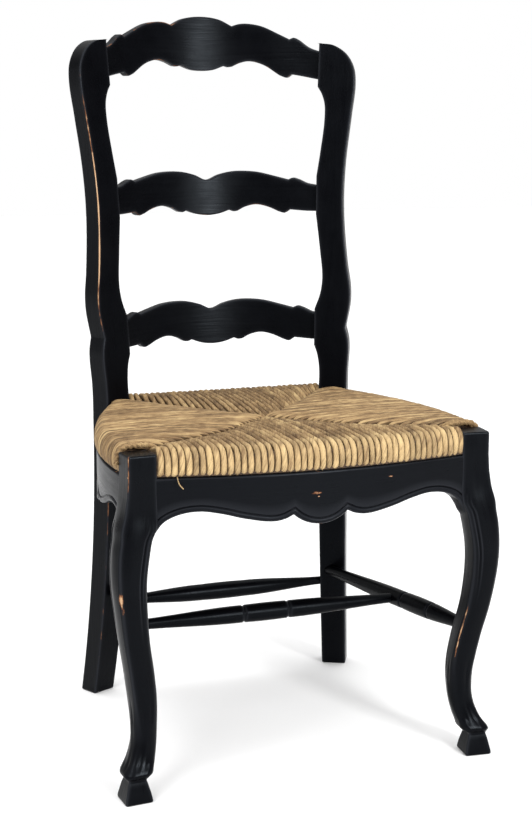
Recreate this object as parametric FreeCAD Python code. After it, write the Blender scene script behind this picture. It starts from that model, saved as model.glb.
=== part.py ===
"""Ladder-back dining chair with cabriole front legs and a woven rush seat.

Millimetres.  While the pieces are made, X = 0 is the middle of the chair (+X to the
sitter's left), Y = 0 is the front face of the front leg blocks (+Y to the back) and
Z = 0 is the floor.  At the end everything slides along Y so that the origin sits on
the floor under the middle of the bounding box.  The seat faces -Y.
"""
import math
import os

import FreeCAD
import Part

V = FreeCAD.Vector

# ---------------------------------------------------------------- driving sizes
# front legs
block_top = 480.0            # floor to the top of the front leg block
block_x = 243.5              # middle of the block, from the middle of the chair
block_w = 40.0               # block width
block_d = 39.0               # block depth
leg_turn = 5.0               # blocks turn in by this many degrees, to follow the bowed sides
foot_top_w = 26.0            # neck above the foot
foot_base_w = 39.5           # foot block where it widens out
foot_h = 29.0                # height of the foot block
foot_ease = 3.0              # worn edge round the sole
toe_z = 40.0                 # lip of the toe

# seat frame
apron_top = block_top - 33.0       # top of the three shaped aprons
apron_lobe_z = apron_top - 73.0    # lowest point of the middle lobe
apron_cusp_z = apron_top - 57.5    # notch on either side of the lobe
apron_low_z = apron_top - 65.2     # low point of the long wave
apron_crown_z = apron_top - 46.4   # crown of the arch beside the leg
apron_end_z = apron_top - 71.5     # where the edge meets the leg
apron_t = 20.0               # thickness of an apron board
front_bow = 26.0             # how far the front apron swells forward
side_bow = 26.5              # how far a side apron swells outward
front_lobe_half = 39.0
side_lobe_half = 25.0
bead_rise = 8.0              # edge bead: its height above the lower edge
bead_quirk = 2.2             # width of the groove above the bead
bead_depth = 1.6             # depth of that groove
rail_w = 26.0                # seat rails, hidden in the rush
rail_h = 24.0
rail_round = 9.0
rail_z = block_top - 13.5    # middle height of the seat rails
rail_overhang = 2.0          # front rail stands this far ahead of the apron
cord_t = 7.0                 # thickness of the rush cord over a rail
cord_pile = 2.5              # how much higher the crossing cords pile up than one layer

# rear posts: front face turned in by post_turn, cut from a plank
post_turn = 27.0
post_u_in = -48.5            # inner edge of the post where a slat enters (post frame)
post_n_seat = 426.0          # front face of the post at the seat (post frame)
post_rake = 48.0             # how far the foot stands behind the seat
post_lean = 0.088            # backward lean above the seat, per millimetre of height
post_bend_z = block_top - 25.0     # rake starts below this height
lean_start_z = block_top + 40.0
post_t_foot = 34.0
post_t_seat = 37.0
post_t_top = 28.0
post_top = block_top + 554.0
foot_w = 40.0                # width of the rear foot

# slats
low_z = block_top + 105.0    # middle of each slat where it meets the posts
mid_z = block_top + 311.0
crest_z = block_top + 521.0
slat_t = 13.0
slat_bow_r = 265.0           # radius of the hollow front face
slat_setback = 9.0           # front face of a slat behind the front face of the post
slat_end_h = 42.0            # height of a slat at the post

# turned stretchers
side_front_z = 187.0
side_rear_z = 173.0
cross_t = 0.464             # where along the side stretchers the cross stretcher enters
rear_str_z = 152.0
spindle_r = 13.5             # fattest radius of the turnings
groove_r = 11.4
side_end_r = 8.5
cross_end_r = 7.6
rear_end_r = 6.5
groove_half = 35.5           # half the length of the barrel between the grooves
groove_w = 3.2

# fits
tenon_l = 16.0               # length of every flat tenon
tenon_t = 8.0                # thickness of a flat tenon
slat_tenon_t = 7.0
rail_pin_r = 6.0             # round tenons of the seat rails
rail_pin_l = 14.0
peg_in = 14.0                # how deep a stretcher enters a leg
fit = 0.12                   # clearance all round every tenon
glue_gap = 1.5               # space left at the bottom of a mortise
rush_gap = 0.8               # rush stands clear of the wood it wraps round
seat_gap = 2.0               # gap between the rush and the top of the aprons


# ---------------------------------------------------------------- small helpers
def line(a, b):
    return Part.LineSegment(a, b).toShape()


def arc(a, b, c):
    return Part.Arc(a, b, c).toShape()


def spline(points):
    curve = Part.BSplineCurve()
    curve.interpolate(points)
    return curve.toShape()


def face_of(edges):
    return Part.Face(Part.Wire(Part.__sortEdges__(edges)))


def mirrored(shape):
    return shape.mirror(V(0, 0, 0), V(1, 0, 0))


def turn_z(shape, degrees, centre=V(0, 0, 0)):
    out = shape.copy()
    out.rotate(centre, V(0, 0, 1), degrees)
    return out


def moved(shape, x, y, z):
    out = shape.copy()
    out.translate(V(x, y, z))
    return out


def box_between(x0, x1, y0, y1, z0, z1):
    return Part.makeBox(x1 - x0, y1 - y0, z1 - z0, V(x0, y0, z0))


def one_solid(shape):
    """The largest solid of a boolean result, with split faces merged."""
    solid = max(shape.Solids, key=lambda s: s.Volume)
    return solid.removeSplitter()


def lerp(a, b, t):
    return a + (b - a) * t


def ring(radius_out, radius_in, x, y, z, height, slope=0.0):
    """A tall ring standing on the XY plane; slope leans it back per millimetre."""
    outer = Part.Face(Part.Wire(Part.makeCircle(radius_out, V(x, y, z))))
    inner = Part.Face(Part.Wire(Part.makeCircle(radius_in, V(x, y, z))))
    way = V(0, slope * height, height)
    return outer.extrude(way).cut(inner.extrude(way))


def bow_radius(half_chord, rise):
    return (half_chord ** 2 + rise ** 2) / (2.0 * rise)


# ---------------------------------------------------------------- rear posts
# The post is drawn in its own frame: U outward along the face, N back through the
# plank, Z up.  Turning that frame by -post_turn about Z puts the right post in place.
def post_front_n(z):
    if z < post_bend_z:
        return post_n_seat + post_rake * ((post_bend_z - z) / post_bend_z) ** 2
    if z < lean_start_z:
        return post_n_seat + 2.5 * ((z - post_bend_z) / (lean_start_z - post_bend_z)) ** 2
    return post_n_seat + 2.5 + post_lean * (z - lean_start_z)


def post_back_n(z):
    if z < post_bend_z:
        thick = lerp(post_t_foot, post_t_seat, z / post_bend_z)
    else:
        thick = lerp(post_t_seat, post_t_top, ((z - post_bend_z) / (post_top - post_bend_z)) ** 0.8)
    return post_front_n(z) + thick


def from_post_frame(u, n):
    a = math.radians(post_turn)
    return u * math.cos(a) + n * math.sin(a), -u * math.sin(a) + n * math.cos(a)


def post_face_outline():
    """Shaped outline of the post, seen square to its front face."""
    foot_in = post_u_in + 12.0
    seat_z = block_top - 10.0
    land_low = low_z - slat_end_h / 2 - 9.0
    land_low_top = low_z + slat_end_h / 2 + 7.0
    land_mid = mid_z - slat_end_h / 2 - 5.0
    land_mid_top = mid_z + slat_end_h / 2 + 13.0
    land_top = crest_z - slat_end_h / 2 - 14.0
    u = post_u_in
    inner = [
        line(V(foot_in, 0, 0), V(u + 7.5, 0, seat_z)),
        spline([V(u + 7.5, 0, seat_z), V(u + 8.8, 0, seat_z + 45.0), V(u + 5.0, 0, seat_z + 71.0),
                V(u, 0, land_low)]),
        line(V(u, 0, land_low), V(u, 0, land_low_top)),
        spline([V(u, 0, land_low_top), V(u + 8.5, 0, land_low_top + 24.0),
                V(u + 11.7, 0, land_low_top + 49.0),
                V(u + 7.0, 0, land_mid - 54.0), V(u, 0, land_mid)]),
        line(V(u, 0, land_mid), V(u, 0, land_mid_top)),
        spline([V(u, 0, land_mid_top), V(u + 6.2, 0, land_mid_top + 42.0), V(u + 11.6, 0, land_top - 52.0),
                V(u + 11.3, 0, land_top - 27.0), V(u + 6.5, 0, land_top - 11.0), V(u, 0, land_top)]),
        line(V(u, 0, land_top), V(u + 1.5, 0, post_top)),
    ]
    nick = low_z - 2.0
    outer = [
        spline([V(u + 1.5, 0, post_top), V(-24.0, 0, post_top - 3.0), V(-5.0, 0, post_top - 15.5),
                V(7.5, 0, post_top - 37.0), V(10.5, 0, post_top - 61.0), V(5.0, 0, post_top - 114.0),
                V(-3.0, 0, lerp(mid_z, post_top, 0.24)), V(-5.5, 0, mid_z), V(-3.6, 0, mid_z - 46.0),
                V(2.9, 0, nick + 99.0), V(8.2, 0, nick + 64.0), V(8.4, 0, nick + 41.0), V(1.8, 0, nick)]),
        spline([V(1.8, 0, nick), V(6.4, 0, nick - 19.0), V(7.3, 0, nick - 35.0), V(5.6, 0, nick - 70.0),
                V(5.2, 0, nick - 92.0)]),
        line(V(5.2, 0, nick - 92.0), V(foot_in + foot_w, 0, 0)),
    ]
    sole = line(V(foot_in + foot_w, 0, 0), V(foot_in, 0, 0))
    return face_of(inner + outer + [sole])


def post_side_outline():
    """Raked and leaning outline of the plank, seen from its edge."""
    over = post_top + 10.0
    low_steps = [post_bend_z * i / 4.0 for i in range(5)]
    high_steps = (lean_start_z, lerp(lean_start_z, over, 0.344), lerp(lean_start_z, over, 0.668), over)
    front = [V(0, post_front_n(z), z) for z in low_steps]
    front += [V(0, post_front_n(z), z) for z in high_steps]
    back = [V(0, post_back_n(z), z) for z in low_steps]
    back += [V(0, post_back_n(z), z) for z in high_steps]
    return face_of([spline(front), spline(back), line(front[0], back[0]), line(front[-1], back[-1])])


def make_post():
    near = post_n_seat - 46.0
    face_body = moved(post_face_outline(), 0, near, 0).extrude(V(0, 190.0, 0))
    side_body = moved(post_side_outline(), -90.0, 0, 0).extrude(V(160.0, 0, 0))
    post = one_solid(face_body.common(side_body))
    return turn_z(post, -post_turn)


# ---------------------------------------------------------------- front legs
def knee(t):
    """Height a share t of the way from the toe to a line under the aprons."""
    return toe_z + t * (apron_top - 69.0 - toe_z)


# Stations down the cabriole leg: height, drift of the middle outward and backward
# from the block, width, depth, corner radius.
leg_stations = [
    (apron_top, 0.0, 0.0, block_w, block_d, 2.5),
    (apron_top - 23.0, 0.8, 0.0, block_w + 1.6, block_d, 2.5),
    (apron_top - 47.0, 2.7, -0.7, block_w + 5.4, 39.5, 3.0),
    (apron_top - 71.0, 5.5, -2.8, block_w + 11.0, 40.5, 3.5),
    (apron_top - 99.0, 12.0, -6.0, 45.0, 40.0, 4.5),
    (knee(0.80), 15.6, -8.5, 40.5, 40.0, 5.5),
    (knee(0.693), 14.2, -8.7, 38.5, 38.5, 6.0),
    (knee(0.548), 9.0, -3.5, 36.0, 36.0, 6.5),
    (knee(0.4036), 1.0, 6.2, 34.5, 34.5, 7.0),
    (knee(0.259), -5.2, 12.5, 33.5, 33.5, 7.5),
    (knee(0.1867), -5.8, 12.5, 33.5, 33.5, 7.5),
    (knee(0.1145), -4.0, 9.2, 34.5, 34.5, 7.0),
    (knee(0.0482), 2.0, 3.2, 37.0, 37.0, 6.0),
    (toe_z, 9.3, -3.0, 40.5, 40.5, 5.0),
]
foot_drift_x = 12.5          # middle of the foot, outward from the middle of the block
foot_drift_y = -7.5          # and forward of it


def rounded_section(x, y, z, w, d, r):
    """Rounded rectangle turned by the leg's own angle, as a wire."""
    hw = w / 2.0
    hd = d / 2.0
    k = r * (1.0 - math.sqrt(0.5))
    pts = []
    for sx, sy in ((1, -1), (1, 1), (-1, 1), (-1, -1)):
        before = V(sx * (hw - r), sy * hd, 0)
        after = V(sx * hw, sy * (hd - r), 0)
        corner = V(sx * (hw - k), sy * (hd - k), 0)
        pts.append((before, corner, after) if sx * sy < 0 else (after, corner, before))
    edges = []
    for i in range(4):
        a, b, c = pts[i]
        edges.append(arc(a, b, c))
        edges.append(line(c, pts[(i + 1) % 4][0]))
    wire = Part.Wire(edges)
    wire.rotate(V(0, 0, 0), V(0, 0, 1), -leg_turn)
    wire.translate(V(x, y, z))
    return wire


def make_front_leg():
    cx = block_x
    cy = block_d / 2.0
    sections = [rounded_section(cx + dx, cy + dy, z, w, d, r) for z, dx, dy, w, d, r in leg_stations]
    shank = Part.makeLoft(sections, True, False)
    block = Part.makeLoft([sections[0], rounded_section(cx, cy, block_top - 2.0, block_w, block_d, 2.5),
                           rounded_section(cx, cy, block_top, block_w - 3.0, block_d - 3.0, 2.0)], True, True)
    fx = cx + foot_drift_x
    fy = cy + foot_drift_y
    t = leg_stations[-1]
    toe = Part.makeLoft([rounded_section(cx + t[1], cy + t[2], toe_z, t[3], t[4], t[5]),
                         rounded_section(fx - 1.5, fy + 1.0, toe_z - 4.0, 33.0, 33.0, 4.5),
                         rounded_section(fx, fy, toe_z - 6.5, foot_top_w, foot_top_w, 2.0)], True, True)
    foot = Part.makeLoft([rounded_section(fx, fy, toe_z - 6.5, foot_top_w, foot_top_w, 2.0),
                          rounded_section(fx, fy, foot_h, foot_top_w, foot_top_w, 1.5),
                          rounded_section(fx, fy, foot_ease, foot_base_w, foot_base_w, 1.5),
                          rounded_section(fx, fy, 0.0, foot_base_w - 4.0, foot_base_w - 4.0, 1.5)],
                         True, True)
    return one_solid(block.fuse([shank, toe, foot]))


# ---------------------------------------------------------------- shaped aprons
def apron_edge(half, lobe_half, lift=0.0):
    """Lower edge of an apron as points of the right half, lobe first."""
    span = half - lobe_half
    wave = [
        V(lobe_half, 0, apron_cusp_z + lift),
        V(lobe_half + 0.06 * span, 0, lerp(apron_low_z, apron_cusp_z, 0.35) + lift),
        V(lobe_half + 0.15 * span, 0, apron_low_z + lift),
        V(lobe_half + 0.36 * span, 0, lerp(apron_low_z, apron_crown_z, 0.31) + lift),
        V(lobe_half + 0.55 * span, 0, lerp(apron_low_z, apron_crown_z, 0.79) + lift),
        V(lobe_half + 0.70 * span, 0, apron_crown_z + lift),
        V(lobe_half + 0.85 * span, 0, lerp(apron_end_z, apron_crown_z, 0.84) + lift),
        V(lobe_half + 0.95 * span, 0, lerp(apron_end_z, apron_crown_z, 0.46) + lift),
        V(half, 0, apron_end_z + lift),
        V(half + 10.0, 0, apron_end_z - 22.0 + lift),
    ]
    lobe = arc(V(-lobe_half, 0, apron_cusp_z + lift), V(0, 0, apron_lobe_z + lift),
               V(lobe_half, 0, apron_cusp_z + lift))
    right = spline(wave)
    left = right.mirror(V(0, 0, 0), V(1, 0, 0))
    return [left, lobe, right], wave[-1]


def bowed_apron(half, lobe_half, bow):
    """Apron board with its middle swelling to -Y; its ends lie on Y = 0."""
    edges, tip = apron_edge(half, lobe_half)
    top_r = V(tip.x, 0, apron_top)
    top_l = V(-tip.x, 0, apron_top)
    board = face_of(edges + [line(tip, top_r), line(top_r, top_l), line(top_l, V(-tip.x, 0, tip.z))])
    r = bow_radius(half, bow)
    cy = r - bow
    slab = moved(board, 0, -60.0, 0).extrude(V(0, 130.0, 0))
    body = slab.common(ring(r, r - apron_t, 0, cy, apron_lobe_z - 60.0, 200.0))
    low_edge, low_tip = apron_edge(half, lobe_half, bead_rise)
    high_edge, high_tip = apron_edge(half, lobe_half, bead_rise + bead_quirk)
    band = face_of(low_edge + high_edge + [line(low_tip, high_tip),
                                           line(V(-low_tip.x, 0, low_tip.z), V(-high_tip.x, 0, high_tip.z))])
    band = moved(band, 0, -60.0, 0).extrude(V(0, 60.0, 0))
    quirk = band.common(ring(r + 1.0, r - bead_depth, 0, cy, apron_lobe_z - 60.0, 200.0))
    return one_solid(body.cut(quirk))


# ---------------------------------------------------------------- slats
def slat_half(height_mid, points, tail):
    """Right half of a slat edge: named points above or below the slat's own middle."""
    return [V(x, 0, height_mid + z) for x, z in points] + [V(tail[0], 0, height_mid + tail[1])]


# a slat blank runs past its fretting and past the posts before it is trimmed to them
slat_reach = max(205.0, from_post_frame(post_u_in, post_front_n(crest_z))[0] + 35.0)

# lower edge shared by the three slats, measured from the middle height at the post
lobe_half = 36.0
lower_lobe = [(0.0, -28.5), (18.0, -26.5), (lobe_half, -20.5)]
lower_tooth = [(lobe_half, -20.5), (42.0, -22.8), (49.0, -22.3)]
lower_arch = [(49.0, -22.3), (62.0, -15.5), (79.0, -12.0), (97.0, -16.0), (112.0, -23.0)]
lower_bead = [(112.0, -23.0), (121.0, -25.5), (129.0, -20.0)]
lower_run = [(129.0, -20.0), (140.0, -21.0), (153.0, -22.0)]
# upper edges: the two lower slats meet in a V, the crest rises in a dome
upper_v = [(0.0, 28.0), (20.0, 36.0), (41.0, 41.0), (58.0, 42.0), (83.0, 40.0), (108.0, 33.5), (127.0, 28.0)]
upper_bead = [(127.0, 28.0), (134.0, 31.0), (143.0, 28.0)]
upper_run = [(143.0, 28.0), (153.0, 22.5), (164.0, 20.0)]


def slat_outline(middle, upper, lower):
    edges = []
    ends = []
    for run in (upper, lower):
        last = None
        for part in run:
            pts = [V(x, 0, middle + z) for x, z in part]
            right = spline(pts)
            edges.append(right)
            edges.append(mirrored(right))
            last = pts[-1]
        tail = V(slat_reach, 0, last.z)
        edges.append(line(last, tail))
        edges.append(mirrored(line(last, tail)))
        ends.append(tail)
    edges.append(line(ends[0], ends[1]))
    edges.append(mirrored(line(ends[0], ends[1])))
    return face_of(edges)


def slat_front_y(middle):
    """Y of the hollow face on the centre line, at the slat's middle height."""
    x, y = from_post_frame(post_u_in, post_front_n(middle) + slat_setback)
    return y + slat_bow_r - math.sqrt(slat_bow_r ** 2 - x ** 2)


def slat_ring(middle, inset_front, inset_back):
    slope = post_lean * math.cos(math.radians(post_turn))
    y = slat_front_y(middle) - slat_bow_r
    low = middle - 60.0
    return ring(slat_bow_r + slat_t - inset_back, slat_bow_r + inset_front, 0, y - 60.0 * slope, low,
                150.0, slope)


def side_of_post(reach):
    """Everything inboard of a plane set `reach` into both posts from their inner edge."""
    slab = box_between(-700.0, post_u_in + reach, 200.0, 900.0, 300.0, 1400.0)
    right = turn_z(slab, -post_turn)
    return right.common(mirrored(right))


def make_slat(middle, upper, lower):
    blank = moved(slat_outline(middle, upper, lower), 0, 200.0, 0).extrude(V(0, 600.0, 0))
    body = blank.common(slat_ring(middle, 0.0, 0.0)).common(side_of_post(0.0))
    return one_solid(body.fuse(slat_tenons(middle, 0.0)))


def slat_tenons(middle, grow):
    shoulder = (slat_t - slat_tenon_t) / 2.0
    half_h = slat_end_h / 2.0 - 5.0 + grow
    band = box_between(-400.0, 400.0, 200.0, 900.0, middle - half_h, middle + half_h)
    tongue = slat_ring(middle, shoulder - grow, shoulder - grow).common(band)
    reach = tenon_l if grow == 0.0 else tenon_l + glue_gap
    outer = tongue.common(side_of_post(reach))
    return outer.cut(box_between(-120.0, 120.0, 200.0, 900.0, 400.0, 1400.0))


# ---------------------------------------------------------------- turned stretchers
def turned(profile, start, end):
    """Revolve (distance, radius) points round the line from start to end."""
    axis = end.sub(start)
    length = axis.Length
    pieces = []
    for part in profile:
        pts = [V(r, 0, s) for s, r in part]
        pieces.append(line(pts[0], pts[1]) if len(pts) == 2 else spline(pts))
    first = profile[0][0]
    last = profile[-1][-1]
    edges = [line(V(0, 0, first[0]), V(first[1], 0, first[0]))] + pieces
    edges += [line(V(last[1], 0, last[0]), V(0, 0, last[0])), line(V(0, 0, last[0]), V(0, 0, first[0]))]
    solid = face_of(edges).revolve(V(0, 0, 0), V(0, 0, 1), 360.0)
    solid = Part.Solid(solid.Shells[0]) if solid.ShapeType != "Solid" else solid
    turn = FreeCAD.Rotation(V(0, 0, 1), axis)
    solid.Placement = FreeCAD.Placement(start, turn)
    return solid, length


def groove(at, r_near, r_far):
    half = groove_w / 2.0
    return [[(at - half, r_near), (at, groove_r)], [(at, groove_r), (at + half, r_far)]]


def barrel_turning(length, end_r, at, straight):
    """Taper, swell, groove, barrel, groove, swell, taper; `at` is the barrel's middle."""
    a = at - groove_half
    b = at + groove_half
    h = groove_w / 2.0
    edge_r = spindle_r - 1.0
    left = [(straight, end_r), (lerp(straight, a, 0.45), lerp(end_r, spindle_r, 0.42)),
            (lerp(straight, a, 0.8), spindle_r - 0.6), (a - h, edge_r)]
    right = [(b + h, edge_r), (lerp(b, length - straight, 0.2), spindle_r - 0.6),
             (lerp(b, length - straight, 0.55), lerp(end_r, spindle_r, 0.42)), (length - straight, end_r)]
    out = [[(0.0, end_r), (straight, end_r)], left]
    out += groove(a, edge_r, edge_r)
    out += [[(a + h, edge_r), (at, spindle_r + 0.3), (b - h, edge_r)]]
    out += groove(b, edge_r, edge_r)
    out += [right, [(length - straight, end_r), (length, end_r)]]
    return out


def plain_turning(length, end_r, straight):
    """Long spindle, fattest in the middle."""
    pts = []
    for i in range(9):
        s = lerp(straight, length - straight, i / 8.0)
        c = math.cos(math.pi * (i / 8.0 - 0.5))
        pts.append((s, end_r + (spindle_r - end_r) * c * c))
    return [[(0.0, end_r), (straight, end_r)], pts, [(length - straight, end_r), (length, end_r)]]


def socket(start, direction, r, depth):
    """Round socket for a turned end: from a little outside the wood to past the end."""
    back = V(direction)
    back.normalize()
    origin = start.sub(back * glue_gap)
    return Part.makeCylinder(r + fit, depth + glue_gap, origin, back)


# ---------------------------------------------------------------- seat rails and rush
def rail_bar(length_half, bow, grow):
    """Rounded seat rail swelling to -Y by `bow`; bow = 0 gives a straight one."""
    w = rail_w + 2 * grow
    h = rail_h + 2 * grow
    r = rail_round + grow
    bar = Part.makeBox(2 * length_half, w, h, V(-length_half, -grow, rail_z - h / 2))
    if bow > 0.0:
        radius = bow_radius(length_half, bow)
        cy = radius - bow
        bar = ring(radius + grow, radius - rail_w - grow, 0, cy, rail_z - h / 2, h)
        keep = box_between(-length_half, length_half, -bow - 5.0, rail_w + 20.0, rail_z - h, rail_z + h)
        bar = bar.common(keep)
    long_edges = []
    for edge in bar.Edges:
        box = edge.BoundBox
        if box.XLength > length_half:
            long_edges.append(edge)
    return bar.makeFillet(r, long_edges)


def chord_place(shape, a, b):
    """Put a board drawn along X, swelling to -Y, on the chord a-b, swelling outward."""
    d = b.sub(a)
    angle = math.degrees(math.atan2(d.y, d.x))
    out = turn_z(shape, angle)
    out.translate((a + b) * 0.5)
    return out


# ================================================================ build the pieces
parts = {}

post_plain = make_post()
leg_plain = make_front_leg()
post_left_plain = mirrored(post_plain)
leg_left_plain = mirrored(leg_plain)
all_wood = [post_plain, post_left_plain, leg_plain, leg_left_plain]

post_cuts = []
leg_cuts = []

# slats
lower_runs = [lower_lobe, lower_tooth, lower_arch, lower_bead, lower_run]
v_runs = [upper_v, upper_bead, upper_run]
crest_upper = [
    [(0.0, 75.5), (30.0, 71.5), (50.0, 61.5)],
    [(50.0, 61.5), (62.0, 65.0), (75.0, 65.5), (96.0, 61.5), (121.0, 49.0), (135.7, 40.5)],
    [(135.7, 40.5), (142.0, 43.0), (149.0, 39.0)],
    [(149.0, 39.0), (162.0, 27.0), (176.0, 20.5)],
]
crest_lower = [
    [(0.0, -9.5), (18.0, -8.0), (lobe_half, -1.5)],
    [(lobe_half, -1.5), (42.0, -3.2), (49.0, -2.5)],
    [(49.0, -2.5), (62.0, 3.5), (76.0, 6.3), (96.0, 1.0), (121.0, -16.5)],
    [(121.0, -16.5), (131.0, -20.0), (138.0, -15.0)],
    [(138.0, -15.0), (150.0, -17.5), (172.0, -23.0)],
]
slats = {"low_slat": (low_z, v_runs, lower_runs), "mid_slat": (mid_z, v_runs, lower_runs),
         "crest_slat": (crest_z, crest_upper, crest_lower)}
for name, (middle, upper, lower) in slats.items():
    parts[name] = make_slat(middle, upper, lower)
    post_cuts.append(slat_tenons(middle, fit))

# front apron: shoulders scribed to the leg blocks, a flat tenon at each end
front_half = block_x - block_w / 2.0
apron_back = V(0, block_d * 0.05, 0)
front_apron = bowed_apron(front_half, front_lobe_half, front_bow)
front_apron = moved(front_apron, 0, apron_back.y, 0)
front_apron = one_solid(front_apron.cut([leg_plain, leg_left_plain]))


def apron_tenon(half, grow, end):
    """Flat tenon at one end of an apron, in the board's own frame."""
    z0 = apron_crown_z + 4.0 - grow
    z1 = apron_top - 8.0 + grow
    y = apron_t / 2.0 + 1.0
    length = tenon_l + (glue_gap if grow else 0.0)
    solid = box_between(half - 8.0, half + length, y - tenon_t / 2 - grow, y + tenon_t / 2 + grow, z0, z1)
    return solid if end > 0 else mirrored(solid)


for end in (1, -1):
    tongue = moved(apron_tenon(front_half, 0.0, end), 0, apron_back.y, 0)
    front_apron = front_apron.fuse(tongue)
    leg_cuts.append(moved(apron_tenon(front_half, fit, end), 0, apron_back.y, 0))
parts["front_apron"] = one_solid(front_apron)

# side aprons: on the chord from the back of the block to the face of the post
side_a = V(block_x + block_w / 2.0 - 2.0, block_d, 0)
px, py = from_post_frame(0.5, post_front_n(apron_top - 27.0))
side_b = V(px, py, 0)
side_half = side_b.sub(side_a).Length / 2.0
side_board = bowed_apron(side_half, side_lobe_half, side_bow)
side_apron = chord_place(side_board, side_a, side_b).cut([leg_plain, post_plain])
side_apron = one_solid(side_apron)
for end in (1, -1):
    tongue = chord_place(apron_tenon(side_half, 0.0, end), side_a, side_b)
    side_apron = side_apron.fuse(tongue)
    cutter = chord_place(apron_tenon(side_half, fit, end), side_a, side_b)
    (post_cuts if end > 0 else leg_cuts).append(cutter)
parts["side_apron_left"] = one_solid(side_apron)
parts["side_apron_right"] = mirrored(parts["side_apron_left"])

# rear apron: a plain arched board between the posts
rx, ry = from_post_frame(post_u_in + 7.3, post_front_n(apron_top - 27.0) + post_t_seat / 2.0)
rear_half = rx + 12.0
arch = [line(V(-rear_half, 0, apron_crown_z - 4.0), V(-rear_half, 0, apron_top)),
        line(V(-rear_half, 0, apron_top), V(rear_half, 0, apron_top)),
        line(V(rear_half, 0, apron_top), V(rear_half, 0, apron_crown_z - 4.0)),
        arc(V(rear_half, 0, apron_crown_z - 4.0), V(0, 0, apron_crown_z + 6.0),
            V(-rear_half, 0, apron_crown_z - 4.0))]
rear_board = moved(face_of(arch), 0, ry - apron_t / 2.0, 0).extrude(V(0, apron_t, 0))
rear_apron = one_solid(rear_board.cut([post_plain, post_left_plain]))


def rear_tenon(grow, end):
    length = rx + tenon_l * 0.75 + (glue_gap if grow else 0.0)
    solid = box_between(rx - 12.0, length, ry - tenon_t / 2 - grow, ry + tenon_t / 2 + grow,
                        apron_crown_z + 8.0 - grow, apron_top - 8.0 + grow)
    return solid if end > 0 else mirrored(solid)


for end in (1, -1):
    rear_apron = rear_apron.fuse(rear_tenon(0.0, end))
    post_cuts.append(rear_tenon(fit, end))
parts["rear_apron"] = one_solid(rear_apron)

# seat rails: one front, one back, two sides, with round tenons
front_rail_bow = front_bow + 6.0
front_rail_y = apron_back.y - rail_overhang + (front_rail_bow - front_bow)


def rail_pins(half, y, grow, end):
    length = 30.0 + rail_pin_l + (glue_gap if grow else 0.0)
    pin = Part.makeCylinder(rail_pin_r + grow, length, V(half - 30.0, y, rail_z), V(1, 0, 0))
    return pin if end > 0 else mirrored(pin)


def front_place(shape):
    return moved(shape, 0, front_rail_y, 0)


rail_front = front_place(rail_bar(front_half + 8.0, front_rail_bow, 0.0))
rail_front = one_solid(rail_front.cut([leg_plain, leg_left_plain]))
for end in (1, -1):
    rail_front = rail_front.fuse(front_place(rail_pins(front_half, rail_w / 2.0, 0.0, end)))
    leg_cuts.append(front_place(rail_pins(front_half, rail_w / 2.0, fit, end)))
parts["seat_rail_front"] = one_solid(rail_front)

side_rail_a = V(side_a.x - 2.5, side_a.y, 0)
side_rail_b = V(side_b.x - 2.5, side_b.y, 0)
rail_half = side_rail_b.sub(side_rail_a).Length / 2.0


def side_place(shape):
    return chord_place(shape, side_rail_a, side_rail_b)


rail_side = one_solid(side_place(rail_bar(rail_half + 8.0, side_bow, 0.0)).cut([leg_plain, post_plain]))
for end in (1, -1):
    rail_side = rail_side.fuse(side_place(rail_pins(rail_half, rail_w / 2.0, 0.0, end)))
    cutter = side_place(rail_pins(rail_half, rail_w / 2.0, fit, end))
    (post_cuts if end > 0 else leg_cuts).append(cutter)
parts["seat_rail_left"] = one_solid(rail_side)
parts["seat_rail_right"] = mirrored(parts["seat_rail_left"])

rail_rear_y = ry - rail_w / 2.0 + 1.0
rail_rear = moved(rail_bar(rear_half, 0.0, 0.0), 0, rail_rear_y, 0)
rail_rear = one_solid(rail_rear.cut([post_plain, post_left_plain]))
for end in (1, -1):
    pin = moved(rail_pins(rx - 4.0, rail_w / 2.0, 0.0, end), 0, rail_rear_y, 0)
    rail_rear = rail_rear.fuse(pin)
    post_cuts.append(moved(rail_pins(rx - 4.0, rail_w / 2.0, fit, end), 0, rail_rear_y, 0))
parts["seat_rail_rear"] = one_solid(rail_rear)

# turned stretchers
leg_axis = V(block_x + 2.3, block_d / 2.0 + 4.9, side_front_z)
qx, qy = from_post_frame(-20.0, post_front_n(side_rear_z))
post_entry = V(qx, qy, side_rear_z)
run = post_entry.sub(V(leg_axis.x, leg_axis.y + 17.0, side_front_z))
unit = V(run)
unit.normalize()
side_start = V(leg_axis.x, leg_axis.y + 17.0, side_front_z).sub(unit * peg_in)
side_end = post_entry + unit * peg_in
side_len = side_end.sub(side_start).Length
barrel_at = 0.312 * side_len
side_str, _ = turned(barrel_turning(side_len, side_end_r, barrel_at, peg_in + 6.0), side_start, side_end)
leg_cuts.append(socket(side_start, unit, side_end_r, 40.0))
post_cuts.append(socket(side_end, unit * -1.0, side_end_r, 40.0))

cross_end = side_start + side_end.sub(side_start) * cross_t
cross_start = V(-cross_end.x, cross_end.y, cross_end.z)
cross_len = cross_end.x * 2.0
cross, _ = turned(barrel_turning(cross_len, cross_end_r, cross_len / 2.0, spindle_r + 6.0),
                  cross_start, cross_end)
cross_socket = socket(cross_end, V(-1, 0, 0), cross_end_r, 40.0)
parts["side_stretcher_left"] = one_solid(side_str.cut(cross_socket))
parts["side_stretcher_right"] = mirrored(parts["side_stretcher_left"])
parts["cross_stretcher"] = cross

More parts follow.
